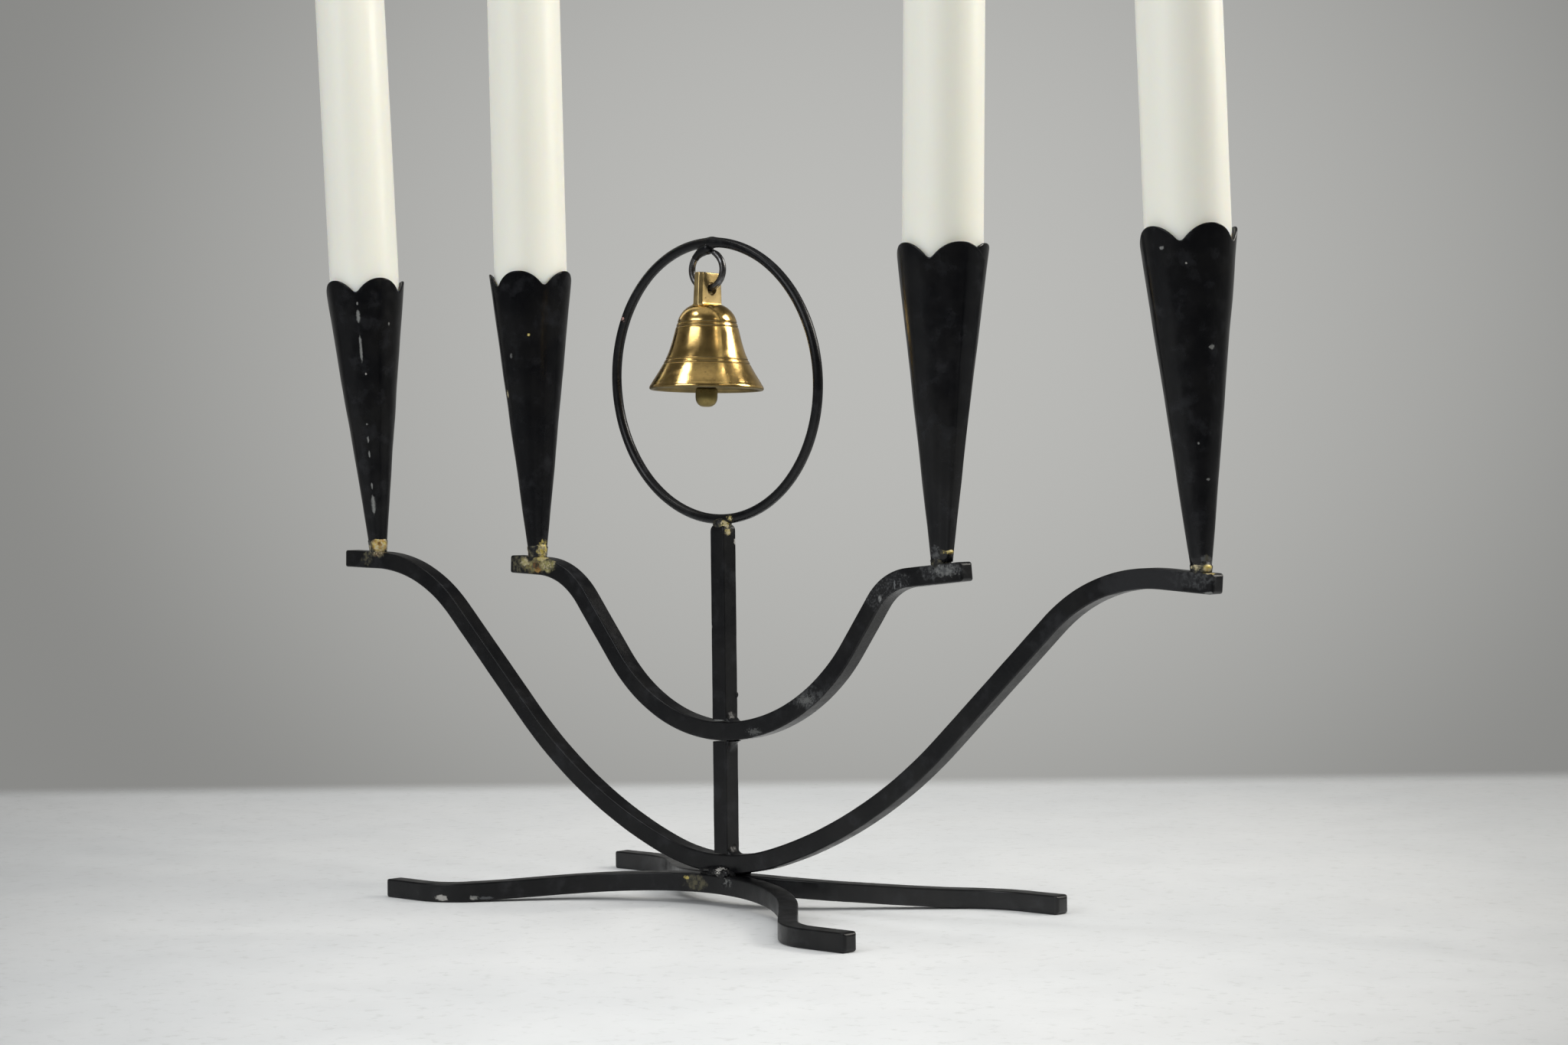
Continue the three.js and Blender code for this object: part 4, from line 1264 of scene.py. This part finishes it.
turn_sine, turn_cosine = sin(CAMERA_TURN), cos(CAMERA_TURN)
pitch_cosine = cos(CAMERA_PITCH)
ahead = Vector((-turn_sine * pitch_cosine, turn_cosine * pitch_cosine, sin(CAMERA_PITCH)))
away = Vector((-turn_sine, turn_cosine, 0))
level = Vector((turn_cosine, turn_sine, 0))
above = level.cross(ahead)
right = level * cos(CAMERA_ROLL) + above * sin(CAMERA_ROLL)
up = above * cos(CAMERA_ROLL) - level * sin(CAMERA_ROLL)
camera_data = bpy.data.cameras.new("photo_camera")
camera_data.sensor_width = SENSOR
camera_data.lens = LENS
camera_data.clip_start = 0.01
camera = put("photo_camera", camera_data)
camera.matrix_world = Matrix((
    (right.x, up.x, -ahead.x, CAMERA_PLACE.x),
    (right.y, up.y, -ahead.y, CAMERA_PLACE.y),
    (right.z, up.z, -ahead.z, CAMERA_PLACE.z),
    (0, 0, 0, 1),
))
bpy.context.scene.camera = camera

# Table, in metres; a painted falloff of light darkens its colour gently away from the object, as the
# photo's does

TABLE_EDGE = 0.349
TABLE_FADE = 0.026
TABLE_NEAR = 0.55
TABLE_HALF = 2.4
TABLE_THICK = 0.03
TABLE_BRIGHT = 0.15
TABLE_FALL = (0.40, 5.2)
CAMERA_REACH = 0.894
FALL_MOST = 0.5
FALL_BLEND = 0.2


def squared(value, weight):
    return times(times(value, value), weight)


def brightness(fall, other_fall):
    """1 less two falls in brightness, whose sum has a soft upper limit."""
    limited = maths("SMOOTH_MIN", plus(fall, other_fall), FALL_MOST)
    limited.node.inputs[2].default_value = FALL_BLEND
    return maths("SUBTRACT", 1, limited)


def table_paint():
    material, shader, place = start_material("table_paint")
    brushed = noise_node(place, 0.05, 5, 0.6)
    tone = blend(ramp(noise_node(place, 0.006, 4), 0.3, 0.7),
                 colour(0.70, 0.72, 0.742), colour(0.743, 0.757, 0.774))
    tone = blend(ramp(brushed, 0.55, 0.8, 0, 0.25), tone, colour(0.62, 0.635, 0.64))
    specks = noise_node(place, 0.22, 4, 0.65)
    tone = blend(ramp(specks, 0.54, 0.70, 0, 0.5), tone, colour(0.55, 0.565, 0.57))
    flecks = noise_node(place, 0.5, 2)
    tone = blend(ramp(flecks, 0.74, 0.80, 0, 0.6), tone, colour(0.36, 0.37, 0.375))
    distance = dot(place, away * MM)
    sideways = dot(place, level * MM)
    aside = maths("DIVIDE", sideways, plus(distance, CAMERA_REACH))
    beyond = maths("MAXIMUM", plus(distance, TABLE_BRIGHT), 0)
    # Painted shade: the colour darkens beyond the object and to the sides, a painted falloff of light
    painted_falloff = brightness(times(beyond, TABLE_FALL[0]), squared(aside, TABLE_FALL[1]))
    plug(shader, base_color=scaled(tone, painted_falloff),
         roughness=ramp(brushed, 0.3, 0.7, 0.55, 0.68),
         normal=bumped(brushed, 0.25, 0.0004))
    tree = material.node_tree
    clear = source(tree, "BsdfTransparent", 0)
    gone = ramp(distance, TABLE_EDGE - TABLE_FADE, TABLE_EDGE + TABLE_FADE)
    mixed = node("MixShader", gone, shader.outputs[0], clear)
    tree.links.new(mixed.outputs[0], tree.nodes["Material Output"].inputs[0])
    return material


def table():
    """A slab that fades into the backdrop at its far edge."""
    far = TABLE_EDGE + 2 * TABLE_FADE
    corners = [
        away * forward + level * sideways * TABLE_HALF + Vector((0, 0, z))
        for z in (0, -TABLE_THICK)
        for forward, sideways in ((-TABLE_NEAR, -1), (-TABLE_NEAR, 1), (far, 1), (far, -1))
    ]
    faces = [(0, 1, 2, 3), (7, 6, 5, 4), (0, 4, 5, 1), (1, 5, 6, 2), (2, 6, 7, 3), (3, 7, 4, 0)]
    obj = smooth_object("table", (np.array(corners) / MM, faces))
    obj.data.shade_flat()
    obj.data.materials.append(table_paint())
    return obj


table()

# Light

AIM = Vector((0, 0, 0.12))


def soft_light(name, turn, height, distance, size, power, tint, shines=True):
    """A rectangular light; turn is degrees to the right of the camera, seen from the object."""
    a, b = radians(turn), radians(height)
    way = (-away * cos(a) + level * sin(a)) * cos(b) + Vector((0, 0, sin(b)))
    data = bpy.data.lights.new(name, "AREA")
    data.shape = "RECTANGLE"
    data.size, data.size_y = size
    data.energy = power
    data.color = tint
    obj = put(name, data)
    obj.location = AIM + way * distance
    obj.rotation_euler = (-way).to_track_quat("-Z", "Y").to_euler()
    obj.visible_glossy = shines


soft_light("ceiling", 60, 84, 1.7, (1.5, 1.3), 13, (1, 0.99, 0.97), shines=False)
soft_light("left_window", -46, 23, 1.6, (1, 0.68), 8, (0.96, 0.98, 1))
soft_light("left_lamp", -74, 57, 1.6, (0.40, 0.22), 3, (1, 0.99, 0.96))
soft_light("right_window", 92, 31, 0.7, (0.21, 0.27), 2.9, (1, 0.96, 0.88))
soft_light("right_lamp", 60, 60, 1.7, (0.22, 0.26), 1.2, (1, 0.97, 0.9))
soft_light("front_window", 37, 30, 2, (0.20, 0.50), 1, (1, 0.90, 0.74))

# Backdrop: a plain grey with painted shade that darkens it away from its middle, dim on the camera's side

BACKDROP = 0.50
ROOM = 0.06
FAR_GLOW = 0.18
OVERHEAD = 0.35
FILL = 0.44
WARMTH = (1, 1, 0.965)
BACKDROP_MIDDLE = (0.02348, 0.06897)
FALL = (7.2, 10.9)


def backdrop():
    world = bpy.data.worlds.new("backdrop")
    bpy.context.scene.world = world
    world.use_nodes = True
    world.cycles.sampling_method = "NONE"
    tree = world.node_tree
    way = source(tree, "TexCoord", "Generated")
    sideways, upwards, behind, height = (dot(way, axis) for axis in (right, up, away, (0, 0, 1)))
    falls = [
        squared(maths("SUBTRACT", value, middle), fall)
        for value, middle, fall in zip((sideways, upwards), BACKDROP_MIDDLE, FALL)
    ]
    # Painted shade: seen directly, the backdrop darkens away from its middle
    seen = times(brightness(*falls), BACKDROP)
    glow = times(ramp(behind, 0, 0.8), ramp(height, 0.65, 0.2))
    sky = times(ramp(height, 0.8, 0.98), OVERHEAD)
    reflected = plus(plus(times(glow, FAR_GLOW), ROOM), sky)
    path = tree.nodes.new("ShaderNodeLightPath").outputs
    direct = maths("MAXIMUM", path["Is Camera Ray"], path["Is Transmission Ray"])
    value = blend(path["Is Glossy Ray"], colour(FILL, FILL, FILL), reflected)
    value = vector_maths("MULTIPLY", blend(direct, value, seen), WARMTH)
    plug(tree.nodes["Background"], color=value, strength=1)


backdrop()
bpy.context.scene.view_settings.view_transform = "Standard"
